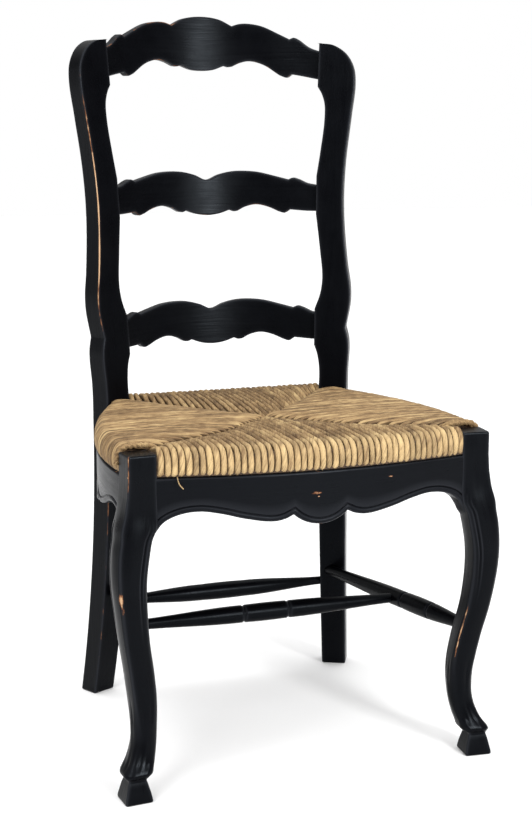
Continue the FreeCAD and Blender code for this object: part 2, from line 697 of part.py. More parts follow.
sx, sy = from_post_frame(-20.0, post_front_n(rear_str_z) + post_t_foot / 2.0 + 1.0)
rear_in, _ = from_post_frame(post_u_in + 7.0, post_front_n(rear_str_z) + post_t_foot / 2.0)
rear_end_x = rear_in + peg_in
rear_a = V(-rear_end_x, sy, rear_str_z)
rear_b = V(rear_end_x, sy, rear_str_z)
rear_str, _ = turned(plain_turning(2 * rear_end_x, rear_end_r, peg_in + 6.0), rear_a, rear_b)
parts["rear_stretcher"] = rear_str
post_cuts.append(socket(rear_b, V(-1, 0, 0), rear_end_r, 40.0))

# legs and posts with their mortises
leg = one_solid(leg_plain.cut(leg_cuts))
parts["front_leg_left"] = leg
parts["front_leg_right"] = mirrored(leg)
post = one_solid(post_plain.cut(post_cuts))
parts["rear_post_left"] = post
parts["rear_post_right"] = mirrored(post)

# rush seat: a rounded slab over the rails, notched round legs and posts
slab_low = apron_top + seat_gap
slab_top = rail_z + rail_h / 2.0 + cord_t + cord_pile
front_y = front_rail_y - cord_t + 1.0
out_a = V(side_a.x + cord_t - 2.5, side_a.y, 0)
out_b = V(side_b.x + cord_t - 2.5, side_b.y, 0)
side_mid = (out_a + out_b) * 0.5
out_dir = V(out_b.y - out_a.y, out_a.x - out_b.x, 0)
out_dir.normalize()
side_mid = side_mid + out_dir * side_bow
back_y = rail_rear_y + rail_w + cord_t
back_x = rx + 14.0
front_x = block_x
fa = V(front_x, front_y + 3.0, slab_low)
fm = V(0, front_y - front_rail_bow, slab_low)
fb = V(-front_x, front_y + 3.0, slab_low)


def at(p, z):
    return V(p.x, p.y, z)


def flip(p):
    return V(-p.x, p.y, p.z)


oa = at(out_a, slab_low)
om = at(side_mid, slab_low)
ob = at(out_b, slab_low)
bb = V(back_x, back_y, slab_low)
plan = [arc(fb, fm, fa), line(fa, oa), arc(oa, om, ob), line(ob, bb), line(bb, flip(bb)),
        line(flip(bb), flip(ob)),
        arc(flip(ob), flip(om), flip(oa)), line(flip(oa), fb)]
slab = face_of(plan).extrude(V(0, 0, slab_top - slab_low))
rim = [e for e in slab.Edges if e.BoundBox.ZLength < 0.5]
slab = slab.makeFillet(13.0, rim)
rush = slab
grow = rush_gap
for sign in (1, -1):
    block = Part.makeBox(block_w + 2 * grow, block_d + 2 * grow, 200.0,
                         V(block_x - block_w / 2 - grow, -grow, block_top - 100.0))
    block = turn_z(block, -leg_turn, V(block_x, block_d / 2.0, 0))
    n0 = post_front_n(block_top - 10.0) - grow
    post_box = box_between(post_u_in + 6.8 - grow, 30.0, n0 - 0.5, n0 + 80.0, block_top - 100.0,
                           block_top + 80.0)
    post_box = turn_z(post_box, -post_turn)
    rush = rush.cut([block, post_box] if sign > 0 else [mirrored(block), mirrored(post_box)])
tunnel = 0.4
rush = rush.cut([front_place(rail_bar(front_half + 8.0, front_rail_bow, tunnel)),
                 side_place(rail_bar(rail_half + 8.0, side_bow, tunnel)),
                 mirrored(side_place(rail_bar(rail_half + 8.0, side_bow, tunnel))),
                 moved(rail_bar(rear_half, 0.0, tunnel), 0, rail_rear_y, 0)])
for end in (1, -1):
    side_pin = side_place(rail_pins(rail_half, rail_w / 2.0, tunnel, end))
    front_pin = front_place(rail_pins(front_half, rail_w / 2.0, tunnel, end))
    rear_pin = moved(rail_pins(rx - 4.0, rail_w / 2.0, tunnel, end), 0, rail_rear_y, 0)
    rush = rush.cut([side_pin, mirrored(side_pin), front_pin, rear_pin])
parts["rush_seat"] = one_solid(rush)

# ---------------------------------------------------------------- centre and write
boxes = [shape.optimalBoundingBox(False, False) for shape in parts.values()]
y_low = min(b.YMin for b in boxes)
y_high = max(b.YMax for b in boxes)
shift = -(y_low + y_high) / 2.0

os.makedirs("parts", exist_ok=True)
for name, shape in parts.items():
    out = moved(shape, 0, shift, 0)
    assert out.isValid(), name
    out.exportStep("parts/" + name + ".step")
    box = out.optimalBoundingBox(False, False)
    print("%-22s %8.1f cm3  x %7.1f %7.1f  y %7.1f %7.1f  z %7.1f %7.1f" % (
        name, out.Volume / 1000.0, box.XMin, box.XMax, box.YMin, box.YMax, box.ZMin, box.ZMax))
print("shift", round(shift, 2), "nodes", len(parts))
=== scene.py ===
"""Ladder-back dining chair: worn black paint over beech, cabriole front legs, woven rush seat."""
import math

import bmesh
import bpy
from mathutils import Matrix, Vector


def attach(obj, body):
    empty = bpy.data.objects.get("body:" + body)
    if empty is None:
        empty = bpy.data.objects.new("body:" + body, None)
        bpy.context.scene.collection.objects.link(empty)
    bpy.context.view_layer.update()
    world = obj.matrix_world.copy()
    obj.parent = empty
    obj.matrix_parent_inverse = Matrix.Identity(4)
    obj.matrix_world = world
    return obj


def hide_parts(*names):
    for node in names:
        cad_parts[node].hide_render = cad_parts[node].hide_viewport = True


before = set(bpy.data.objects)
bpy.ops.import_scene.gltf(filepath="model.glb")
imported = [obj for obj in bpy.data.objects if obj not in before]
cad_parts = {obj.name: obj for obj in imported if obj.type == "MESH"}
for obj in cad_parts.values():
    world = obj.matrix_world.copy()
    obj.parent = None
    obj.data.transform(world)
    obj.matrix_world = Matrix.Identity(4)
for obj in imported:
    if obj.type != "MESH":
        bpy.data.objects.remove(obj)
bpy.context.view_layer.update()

# ---------------------------------------------------------------- studio
# A pale seamless floor, one large soft light high on the viewer's left, a weaker one on the right
# and a bright plain surround, seen from a little to the left of the chair and above the seat.
camera_data = bpy.data.cameras.new("camera")
camera_data.sensor_fit = "VERTICAL"
camera_data.sensor_height = 36.0
camera_data.lens = 67.63
camera_data.clip_end = 50.0
camera = bpy.data.objects.new("camera", camera_data)
camera.location = (-0.7343, -2.1542, 0.8978)
camera.rotation_euler = (math.radians(79.713), math.radians(0.037), math.radians(-19.214))
bpy.context.scene.collection.objects.link(camera)
bpy.context.scene.camera = camera

floor_mesh = bpy.data.meshes.new("studio_floor")
floor_mesh.from_pydata([(-14, -14, 0), (14, -14, 0), (14, 14, 0), (-14, 14, 0)], [], [(0, 1, 2, 3)])
floor = bpy.data.objects.new("studio_floor", floor_mesh)
bpy.context.scene.collection.objects.link(floor)
floor_finish = bpy.data.materials.new("pale_floor")
floor_finish.use_nodes = True
floor_finish.node_tree.nodes["Principled BSDF"].inputs["Base Color"].default_value = (0.93, 0.93, 0.93, 1)
floor_finish.node_tree.nodes["Principled BSDF"].inputs["Roughness"].default_value = 0.85
floor_mesh.materials.append(floor_finish)


class Wire:
    """One socket of a node tree, so that values can be written as sums."""

    def __init__(self, net, socket):
        self.net = net
        self.socket = socket

    def maths(self, how, *others):
        return self.net.add("ShaderNodeMath", {"operation": how}, dict(enumerate((self,) + others)))["Value"]

    def __add__(self, other):
        return self.maths("ADD", other)

    def __sub__(self, other):
        return self.maths("SUBTRACT", other)

    def __rsub__(self, other):
        return self.net.add("ShaderNodeMath", {"operation": "SUBTRACT"}, {0: other, 1: self})["Value"]

    def __mul__(self, other):
        return self.maths("MULTIPLY", other)

    def __truediv__(self, other):
        return self.maths("DIVIDE", other)

    __radd__ = __add__
    __rmul__ = __mul__

    def ramp(self, low, high):
        """0 below low, 1 above high, eased between."""
        return self.net.add("ShaderNodeMapRange", {"interpolation_type": "SMOOTHSTEP"},
                            {"Value": self, "From Min": low, "From Max": high})["Result"]


class Placed:
    """A node whose outputs are read by name or number."""

    def __init__(self, net, node):
        self.net = net
        self.node = node

    def __getitem__(self, key):
        return Wire(self.net, self.node.outputs[key])


class Net:
    """A node tree that is written as expressions."""

    def __init__(self, tree):
        self.tree = tree

    def add(self, kind, settings=None, sockets=None):
        node = self.tree.nodes.new(kind)
        for key, value in (settings or {}).items():
            if key == "stops":
                for i, (at, colour) in enumerate(value):
                    stop = node.color_ramp.elements[i] if i < 2 else node.color_ramp.elements.new(at)
                    stop.position = at
                    stop.color = tuple(colour) + (1.0,)
            else:
                setattr(node, key, value)
        for key, value in (sockets or {}).items():
            if isinstance(value, Wire):
                self.tree.links.new(value.socket, node.inputs[key])
            elif value is not None:
                node.inputs[key].default_value = value
        return Placed(self, node)

    def noise(self, vector, scale, detail=3.0, rough=0.5, out="Fac"):
        return self.add("ShaderNodeTexNoise", None, {"Vector": vector, "Scale": scale, "Detail": detail,
                                                     "Roughness": rough})[out]

    def vector(self, x=0.0, y=0.0, z=0.0):
        return self.add("ShaderNodeCombineXYZ", None, {"X": x, "Y": y, "Z": z})["Vector"]

    def vectors(self, how, a, b=None, out="Vector"):
        return self.add("ShaderNodeVectorMath", {"operation": how}, {0: a, 1: b})[out]

    def stretch(self, vector, x, y, z):
        return self.vectors("MULTIPLY", vector, (x, y, z))

    def blend(self, amount, a, b):
        """Colour a going over to colour b."""
        return self.add("ShaderNodeMix", {"data_type": "RGBA"}, {0: amount, 6: a, 7: b})[2]

    def attribute(self, name, out="Fac"):
        return self.add("ShaderNodeAttribute", {"attribute_name": name})[out]

    def store(self, shape, title, value, kind="FLOAT"):
        return self.add("GeometryNodeStoreNamedAttribute", {"data_type": kind, "domain": "POINT"},
                        {"Geometry": shape, "Name": title, "Value": value})["Geometry"]


world = bpy.data.worlds.new("studio_surround")
bpy.context.scene.world = world
world.use_nodes = True
sky = world.node_tree.nodes["Background"]
sky.inputs["Color"].default_value = (1.0, 1.0, 1.0, 1)
net = Net(world.node_tree)
way = net.add("ShaderNodeSeparateXYZ", None, {"Vector": net.add("ShaderNodeTexCoord")["Generated"]})
toward = net.add("ShaderNodeMapRange", None, {"Value": way["Y"], "From Min": 0.4, "From Max": 0.8,
                                              "To Min": 0.24, "To Max": 0.6})["Result"]
above = net.add("ShaderNodeMapRange", None, {"Value": way["Z"], "From Min": 0.35, "From Max": 0.95,
                                             "To Min": 0.0, "To Max": 2.2})["Result"]
# what is seen directly is white all round; only the light that falls on the chair is shaped
seen = net.add("ShaderNodeLightPath")["Is Camera Ray"]
strength = toward.maths("MAXIMUM", above).maths("MAXIMUM", seen)
world.node_tree.links.new(strength.socket, sky.inputs["Strength"])
bpy.context.scene.view_settings.view_transform = "Standard"


def soft_light(name, place, aim, size, power):
    data = bpy.data.lights.new(name, "AREA")
    data.shape = "RECTANGLE"
    data.size, data.size_y = size
    data.energy = power
    lamp = bpy.data.objects.new(name, data)
    lamp.location = place
    way = [aim[i] - place[i] for i in range(3)]
    lamp.rotation_euler = (math.atan2(math.hypot(way[0], way[1]), -way[2]), 0,
                           math.atan2(way[1], way[0]) - math.pi / 2)
    bpy.context.scene.collection.objects.link(lamp)


soft_light("key_left", (-2.3, -2.0, 2.7), (0, 0, 0.5), (1.4, 1.4), 55)
soft_light("front_right", (0.95, -2.9, 1.4), (0, 0, 0.72), (0.6, 0.8), 76)
soft_light("left_behind", (-3.0, 1.3, 1.0), (0, 0, 0.6), (1.0, 1.8), 6)

# ---------------------------------------------------------------- rear posts
# Two posts sawn to shape from beech plank, turned inwards to face the hollow back, raked at the
# foot and leaning above the seat. Their arrises are eased by hand and the black paint on them is
# rubbed through to orange primer and bare wood.
MM = 0.001
middle_y = -251.05           # depth of the front blocks' face from the middle of the chair
post_turn = math.radians(27.0)
post_inner = -48.5
post_top = 1034.0
post_lean = 0.088            # how far back for each millimetre up, above the seat


def smooth_run(points, steps=10):
    """Points of a smooth curve through the given points."""
    n = len(points)
    out = []
    for i in range(n - 1):
        p0, p1, p2, p3 = (points[max(i - 1, 0)], points[i], points[i + 1], points[min(i + 2, n - 1)])
        l1 = math.dist(p0, p1) or math.dist(p1, p2)
        l2 = math.dist(p1, p2)
        l3 = math.dist(p2, p3) or l2
        for k in range(steps):
            t = k / steps
            point = []
            for a, b, c, d in zip(p0, p1, p2, p3):
                m1 = (c - b) if p0 == p1 else ((c - b) / l2 + (b - a) / l1) * 0.5 * l2
                m2 = (c - b) if p2 == p3 else ((d - c) / l3 + (c - b) / l2) * 0.5 * l2
                h = (2 * t ** 3 - 3 * t ** 2 + 1, t ** 3 - 2 * t ** 2 + t,
                     -2 * t ** 3 + 3 * t ** 2, t ** 3 - t ** 2)
                point.append(h[0] * b + h[1] * m1 + h[2] * c + h[3] * m2)
            out.append(tuple(point))
    out.append(tuple(points[-1]))
    return out


def follow(run, x):
    """Height of a run of (x, y) points at x."""
    if x <= run[0][0]:
        return run[0][1]
    for a, b in zip(run, run[1:]):
        if x <= b[0]:
            return a[1] + (b[1] - a[1]) * (x - a[0]) / (b[0] - a[0]) if b[0] > a[0] else b[1]
    return run[-1][1]


def eased_section(x0, x1, y0, y1, ease, flat=7):
    """Rounded rectangle, anticlockwise from the x0,y0 corner: (x, y, distance to the arris, arris number).

    ease is the radius of the arrises, or a list of the four, and flat is the number of points along the
    middle of a side.
    """
    close, clear = 1.3, 3.5      # the two points that stand at each end of a side, from its round
    mid_round = 0.21             # from the true corner to the middle of its round, as a share of the radius
    eases = ease if isinstance(ease, list) else [ease] * 4
    corners = [(x0, y0, math.pi), (x1, y0, 1.5 * math.pi), (x1, y1, 0.0), (x0, y1, 0.5 * math.pi)]
    out = []
    for i, (cx, cy, start) in enumerate(corners):
        after = (i + 1) % 4
        r, r2 = eases[i], eases[after]
        mx = cx + (r if i in (0, 3) else -r)
        my = cy + (r if i in (0, 1) else -r)
        for k in range(4):
            a = start + k / 3 * math.pi / 2
            out.append((mx + r * math.cos(a), my + r * math.sin(a), abs(k - 1.5) * r * math.pi / 6, i))
        dx, dy = corners[after][0] - cx, corners[after][1] - cy
        length = math.hypot(dx, dy)
        first, last = r + clear, length - r2 - clear
        stops = [r + close] + [first + (last - first) * k / (flat + 1) for k in range(flat + 2)]
        for s in stops + [length - r2 - close]:
            near = min(s - r * mid_round, length - s - r2 * mid_round)
            out.append((cx + dx * s / length, cy + dy * s / length, near, i if s < length / 2 else after))
    return out


def arris_wear_and_sheen(near):
    """1 on the very arris, falling away within a few millimetres; there the paint wears and is given a painted
    sheen.
    """
    return min(1.0, math.exp(-(near - 0.5) / 1.3))


def clamped(x):
    return min(1.0, max(0.0, x))


def hill(x, middle, width):
    """1 at the middle, falling away on both sides."""
    return math.exp(-((x - middle) / width) ** 2)


def loft(name, rings):
    """Closed skin over a stack of rings.

    A point is its place, its place in the grain, how much of it is arris and how worn that is. The paint
    reads the last three; the arris share both wears the paint and lightens it as a painted sheen.
    """
    n = len(rings[0])
    points = [point for ring in rings for point in ring]
    faces = [(k * n + i, k * n + (i + 1) % n, (k + 1) * n + (i + 1) % n, (k + 1) * n + i)
             for k in range(len(rings) - 1) for i in range(n)]
    for k in (0, len(rings) - 1):
        place, lie = [tuple(sum(point[part][i] for point in rings[k]) / n for i in range(3))
                      for part in (0, 1)]
        points.append((place, lie, 0.0, 0.0))
        faces += [(k * n + i, k * n + (i + 1) % n, len(points) - 1) for i in range(n)]
    mesh = bpy.data.meshes.new(name)
    mesh.from_pydata([tuple(c * MM for c in point[0]) for point in points], [], faces)
    layer = mesh.attributes.new("lie", "FLOAT_VECTOR", "POINT")
    for spot, point in zip(layer.data, points):
        spot.vector = [c * MM for c in point[1]]
    for part, title in ((2, "arris"), (3, "worn")):
        layer = mesh.attributes.new(title, "FLOAT", "POINT")
        for spot, point in zip(layer.data, points):
            spot.value = point[part]
    return finished(name, mesh, (len(rings) - 1) * n)


def finished(name, mesh, ends=None):
    """Object of a closed mesh: faces turned outward and shaded smooth, with any end faces flat."""
    bm = bmesh.new()
    bm.from_mesh(mesh)
    bmesh.ops.recalc_face_normals(bm, faces=bm.faces)
    bm.to_mesh(mesh)
    bm.free()
    mesh.shade_smooth()
    for face in list(mesh.polygons)[ends:] if ends else ():
        face.use_smooth = False
    piece = bpy.data.objects.new(name, mesh)
    bpy.context.scene.collection.objects.link(piece)
    return piece


def new_finish(name):
    finish = bpy.data.materials.new(name)
    finish.use_nodes = True
    finish.node_tree.nodes.clear()
    return finish, Net(finish.node_tree)


def close_finish(net, colour, roughness, relief, strength, depth, shine=None):
    """The shader of a finish: colour and roughness on a surface with a raised relief."""
    bump = net.add("ShaderNodeBump", None, {"Strength": strength, "Distance": depth, "Height": relief})
    shader = net.add("ShaderNodeBsdfPrincipled", None, {"Base Color": colour, "Roughness": roughness,
                                                        "Normal": bump["Normal"], **(shine or {})})
    net.add("ShaderNodeOutputMaterial", None, {"Surface": shader["BSDF"]})


chips = [  # middle of a chip in the grain, and its reach each way
    ((918.0, 0.0, -7.0), (4.4, 30.0, 19.0)), ((931.0, 0.0, 104.0), (2.8, 30.0, 10.0)),
    ((912.5, 0.0, -4.0), (1.8, 30.0, 3.0)), ((-13.0, 30.5, 452.0), (1.6, 9.0, 2.5)),
    ((-15.7, 31.8, 285.0), (5.0, 5.0, 34.0)), ((17.3, 34.0, 200.0), (2.2, 2.2, 175.0)),
    ((957.0, 0.0, -150.0), (1.2, 30.0, 4.0))]
paint, net = new_finish("worn_black_paint")
lie, arris, worn = net.attribute("lie", "Vector"), net.attribute("arris"), net.attribute("worn")
grain = net.noise(net.stretch(lie, 1.0, 1.0, 0.06), 420.0, 3.0, 0.55)
brush = net.noise(net.stretch(lie, 1.0, 1.0, 0.035), 160.0, 4.0, 0.6)
cloud = net.noise(lie, 22.0, 4.0, 0.55)
ragged = net.noise(net.stretch(lie, 1.0, 1.0, 0.35), 130.0, 4.0, 0.65)
patch = net.noise(net.stretch(lie, 1.0, 1.0, 0.6), 17.0, 3.0, 0.6)
rub = arris * worn + (ragged - 0.5) * 0.7 * arris + (patch - 0.5) * 1.3 * worn * arris
for chip, reach in chips:
    off = net.vectors("SUBTRACT", lie, tuple(c * MM for c in chip))
    off = net.stretch(off, *(1.0 / (c * MM) for c in reach))
    rub = rub.maths("MAXIMUM", (1.12 - net.vectors("LENGTH", off, out="Value")) * 0.75 + (ragged - 0.5) * 1.5)
# rubbed through: first to the brown primer, then to the pale wood
halo = rub.ramp(0.5, 0.66)
core = rub.ramp(0.66, 0.8)
black = net.blend(cloud, (0.0008, 0.0008, 0.0012, 1), (0.0019, 0.002, 0.0029, 1))
# painted sheen: along the arrises the black is painted a lighter grey, as if catching the light
black = net.blend(arris * 0.5, black, (0.03, 0.032, 0.038, 1))
brown = net.blend(ragged.ramp(0.35, 0.65), (0.06, 0.02, 0.009, 1), (0.2, 0.085, 0.038, 1))
cream = net.blend(grain, (0.36, 0.2, 0.1, 1), (0.6, 0.42, 0.26, 1))
close_finish(net, net.blend(core, net.blend(halo, black, brown), cream),
             0.31 + (brush - 0.5) * 0.22 + (cloud - 0.5) * 0.2 + halo * 0.18,
             (grain - 0.5) * 0.35 + (brush - 0.5) * 0.8 + cloud * 0.5 - halo * 0.35, 0.35, 0.0009,
             {"Specular IOR Level": 0.06, "Specular Tint": (0.8, 0.9, 1.0, 1)})


post_depth, post_thick = 426.0, 37.0     # at the seat: the face behind the blocks' face, and the wood behind it
seat_z, lean_z = 455.0, 520.0            # the rake ends at the first and the lean starts at the second


def post_front(z):
    """How far the post's front face lies behind the blocks' face, at height z."""
    if z < seat_z:
        return post_depth + 48.0 * ((seat_z - z) / seat_z) ** 2
    if z < lean_z:
        return post_depth + 2.5 * ((z - seat_z) / (lean_z - seat_z)) ** 2
    return post_depth + 2.5 + post_lean * (z - lean_z)


def post_back(z):
    """The same for its back face: thickest at the seat, thinner at the foot and at the top."""
    if z < seat_z:
        return post_front(z) + post_thick - 3.0 + 3.0 * z / seat_z
    return post_front(z) + post_thick - 9.0 * (min((z - seat_z) / (post_top - seat_z), 1.0)) ** 0.8


def out_of_post(u, n):
    """Place in the chair of a point drawn square to the post's own face."""
    return (u * math.cos(post_turn) + n * math.sin(post_turn),
            -u * math.sin(post_turn) + n * math.cos(post_turn) + middle_y)


inner_edge = ([(0.0, -36.5), (470.0, -41.0)]
              + smooth_run([(470.0, -41.0), (515.0, -39.7), (541.0, -43.5), (555.0, -48.5)])[1:]
              + [(613.0, -48.5)]
              + smooth_run([(613.0, -48.5), (637.0, -40.0), (662.0, -36.8), (711.0, -41.5),
                            (765.0, -48.5)])[1:]
              + [(825.0, -48.5)]
              + smooth_run([(825.0, -48.5), (867.0, -42.3), (914.0, -36.9), (939.0, -37.2), (955.0, -42.0),
                            (966.0, -48.5)])[1:]
              + [(post_top, -47.0)])
outer_edge = ([(0.0, 3.5), (491.0, 5.2)]
              + smooth_run([(491.0, 5.2), (513.0, 5.6), (548.0, 7.3), (564.0, 6.4), (583.0, 1.8)])[1:]
              + smooth_run([(583.2, 1.8), (624.0, 8.4), (647.0, 8.2), (682.0, 2.9), (745.0, -3.6),
                            (791.0, -5.5),
                            (849.3, -3.0), (920.0, 5.0), (973.0, 10.5), (997.0, 7.5), (1018.5, -5.0),
                            (1031.0, -24.0), (post_top, -46.0)]))
post_levels = sorted({round(z, 2) for z, u in inner_edge + outer_edge} | {z * 12.0 for z in range(1, 86)}
                     | {1.0, 2.5, 5.0, 1021.0, 1024.0, 1026.5, 1029.0, 1032.4})


def make_post(side):
    rings = []
    for z in post_levels:
        shrink = 2.0 * max(0.0, 1.0 - z / 2.5) ** 2
        section = eased_section(follow(inner_edge, z) + shrink, max(follow(outer_edge, z), -46.2) - shrink,
                                post_front(z) + shrink, post_back(z) - shrink,
                                min(2.0, max(0.25, (post_top + 1.2 - z) * 0.5)), 5)
        wear = [0.3] * 4
        if side > 0:
            wear[1] = 0.38
        else:
            wear[1] += 0.34 * clamped((z - 560.0) / 80.0) * clamped((1015.0 - z) / 70.0)
            wear[1] += 0.3 * hill(z, 790.0, 90.0) + 0.22 * hill(z, 530.0, 45.0)
            wear[1] += 0.2 * clamped((380.0 - z) / 60.0) * clamped((z - 20.0) / 30.0)
        ring = []
        # the grain is moved along for each post, so that the two don't wear alike
        for u, n, near, corner in section:
            x, y = out_of_post(u, n)
            ring.append(((x * side, y, z), (u + side * 70.0, n, z), arris_wear_and_sheen(near), wear[corner]))
        rings.append(ring)
    name = "rear_post_left" if side > 0 else "rear_post_right"
    piece = loft("shaped_" + name, rings)
    piece.data.materials.append(paint)
    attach(piece, "root")
    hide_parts(name)


make_post(1)
make_post(-1)

# ---------------------------------------------------------------- back slats
# Three slats bent to one hollow and let into the posts: two alike with a shallow V on top, and a
# domed crest. Their lower edges are fretted with a lobe, small teeth and an arch on each side.
slat_bow = 265.0
slat_thick = 13.0
slat_lean = post_lean * math.cos(post_turn)
lower_fret = [[(0.0, -28.5), (18.0, -26.5), (36.0, -20.5)],
              [(36.0, -20.5), (42.0, -22.8), (49.0, -22.3)],
              [(49.0, -22.3), (62.0, -15.5), (79.0, -12.0), (97.0, -16.0), (112.0, -23.0)],
              [(112.0, -23.0), (121.0, -25.5), (129.0, -20.0)],
              [(129.0, -20.0), (140.0, -21.0), (153.0, -22.0)],
              [(153.0, -22.0), (215.0, -22.0)]]
upper_v = [[(0.0, 28.0), (20.0, 36.0), (41.0, 41.0), (58.0, 42.0), (83.0, 40.0), (108.0, 33.5),
            (127.0, 28.0)],
           [(127.0, 28.0), (134.0, 31.0), (143.0, 28.0)], [(143.0, 28.0), (153.0, 22.5), (164.0, 20.0)],
           [(164.0, 20.0), (215.0, 20.0)]]
crest_fret = [[(0.0, -9.5), (18.0, -8.0), (36.0, -1.5)], [(36.0, -1.5), (42.0, -3.2), (49.0, -2.5)],
              [(49.0, -2.5), (62.0, 3.5), (76.0, 6.3), (96.0, 1.0), (121.0, -16.5)],
              [(121.0, -16.5), (131.0, -20.0), (138.0, -15.0)],
              [(138.0, -15.0), (150.0, -17.5), (172.0, -23.0)],
              [(172.0, -23.0), (215.0, -23.0)]]
crest_dome = [[(0.0, 75.5), (30.0, 71.5), (50.0, 61.5)],
              [(50.0, 61.5), (62.0, 65.0), (75.0, 65.5), (96.0, 61.5), (121.0, 49.0), (135.7, 40.5)],
              [(135.7, 40.5), (142.0, 43.0), (149.0, 39.0)], [(149.0, 39.0), (162.0, 27.0), (176.0, 20.5)],
              [(176.0, 20.5), (215.0, 20.5)]]


def fretted(runs):
    """Points along an edge that is smooth between its teeth; the middle joins its mirror smoothly."""
    out = []
    for i, run in enumerate(runs):
        if i == 0:
            whole = [(-x, z) for x, z in reversed(run[1:])] + run
            curve = [p for p in smooth_run(whole, 8) if p[0] >= 0.0]
        else:
            curve = smooth_run(run, 8) if len(run) > 2 else run
        out += curve if not out else curve[1:]
    return out


def make_slat(name, middle, upper, lower, reach, seed):
    x_post, y_post = out_of_post(post_inner, post_front(middle) + 9.0)
    centre = y_post - math.sqrt(slat_bow ** 2 - x_post ** 2)
    top, bottom = fretted(upper), fretted(lower)
    half = sorted({round(x, 2) for x, z in top + bottom if x < reach} | {reach})
    half = [x for i, x in enumerate(half) if i == 0 or x - half[i - 1] > 0.35]
    rings = []
    for x in [-x for x in reversed(half[1:])] + half:
        z0, z1 = middle + follow(bottom, abs(x)), middle + follow(top, abs(x))
        angle = math.asin(x / slat_bow)
        wear = [0.42 if name == "low_slat" else 0.5, 0.34, 0.34, 0.34]
        if name == "crest_slat" and x < -40.0:
            wear[1] = 0.58
        ring = []
        for z, depth, near, corner in eased_section(z0, z1, 0.0, slat_thick, 1.9, 7):
            r = slat_bow + depth
            y = centre + r * math.cos(angle) + (z - middle) * slat_lean
            ring.append(((r * math.sin(angle), y, z), (z - middle + seed, depth, angle * slat_bow),
                         arris_wear_and_sheen(near), wear[corner]))
        rings.append(ring)
    piece = loft("fretted_" + name, rings)
    piece.data.materials.append(paint)
    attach(piece, "root")
    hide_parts(name)


make_slat("low_slat", 585.0, upper_v, lower_fret, 166.0, 140.0)
make_slat("mid_slat", 791.0, upper_v, lower_fret, 174.0, 260.0)
make_slat("crest_slat", 1001.0, crest_dome, crest_fret, 183.0, 380.0)

# ---------------------------------------------------------------- front legs
# Each leg is carved from one square: a plain block at the seat, a cabriole knee and ankle, three
# shallow flutes running out over a pointed toe, and a small square foot. A bead runs down the inner
# edges of the knee from the aprons and dies out above the ankle.
block_x, block_half_d = 243.5, 19.5
leg_turn = math.radians(-5.0)
groove_in, bead_in = 9.0, 5.0    # from the inner arris to the middles of the groove and of the bead
leg_shape = [  # height, drift outward, drift back, width, depth, ease of the arrises
    (480.0, 0.0, 0.0, 37.6, 36.6, 1.6), (478.8, 0.0, 0.0, 39.4, 38.4, 1.8),
    (476.8, 0.0, 0.0, 40.0, 39.0, 1.8), (447.0, 0.0, 0.0, 40.0, 39.0, 1.8),
    (424.0, 0.8, 0.0, 41.6, 39.0, 1.8), (400.0, 2.7, -0.7, 45.4, 39.5, 1.9),
    (380.0, 6.0, -2.6, 49.0, 40.4, 2.2), (366.0, 9.8, -4.2, 43.8, 40.2, 2.4),
    (348.0, 13.2, -6.0, 42.6, 40.0, 2.6), (311.0, 16.6, -8.5, 38.8, 40.0, 3.2),
    (274.0, 15.1, -8.7, 36.7, 38.5, 3.8), (225.0, 9.6, -3.5, 34.8, 36.0, 4.4),
    (176.0, 1.0, 6.2, 34.5, 34.5, 5.0), (127.5, -5.2, 12.5, 33.5, 33.5, 5.5),
    (103.0, -5.8, 12.5, 33.5, 33.5, 5.5), (78.7, -4.0, 9.2, 34.5, 34.5, 5.5),
    (56.3, 2.0, 3.2, 37.0, 37.0, 5.0), (45.0, 7.2, -1.3, 39.8, 39.8, 4.6)]
foot_shape = [  # below the lip of the toe: the same columns
    (41.5, 8.8, -2.6, 40.9, 40.9, 4.6), (38.6, 9.8, -3.4, 40.6, 40.6, 4.8),
    (36.4, 10.6, -4.4, 37.6, 37.6, 5.2), (34.6, 11.6, -6.2, 31.0, 31.0, 4.0),
    (33.0, 12.5, -7.5, 26.4, 26.4, 1.8), (31.0, 12.5, -7.5, 25.4, 25.4, 1.6),
    (29.2, 12.5, -7.5, 26.4, 26.4, 1.6), (28.0, 12.5, -7.5, 27.4, 27.4, 1.6),
    (22.0, 12.6, -7.5, 30.8, 30.8, 1.8), (14.0, 12.4, -7.4, 34.8, 34.6, 2.0),
    (7.0, 12.6, -7.6, 38.0, 37.8, 2.2), (3.4, 12.5, -7.5, 39.2, 39.2, 2.4),
    (1.2, 12.5, -7.5, 38.6, 38.6, 2.6), (0.0, 12.5, -7.5, 35.6, 35.6, 2.6)]
block_rows, knee_rows = leg_shape[:4], leg_shape[4:]
leg_rows = foot_shape[::-1] + smooth_run(knee_rows[::-1], 9) + block_rows[::-1]


def step(x, low, high):
    """0 below low, 1 above high, eased between."""
    t = clamped((x - low) / (high - low))
    return t * t * (3.0 - 2.0 * t)


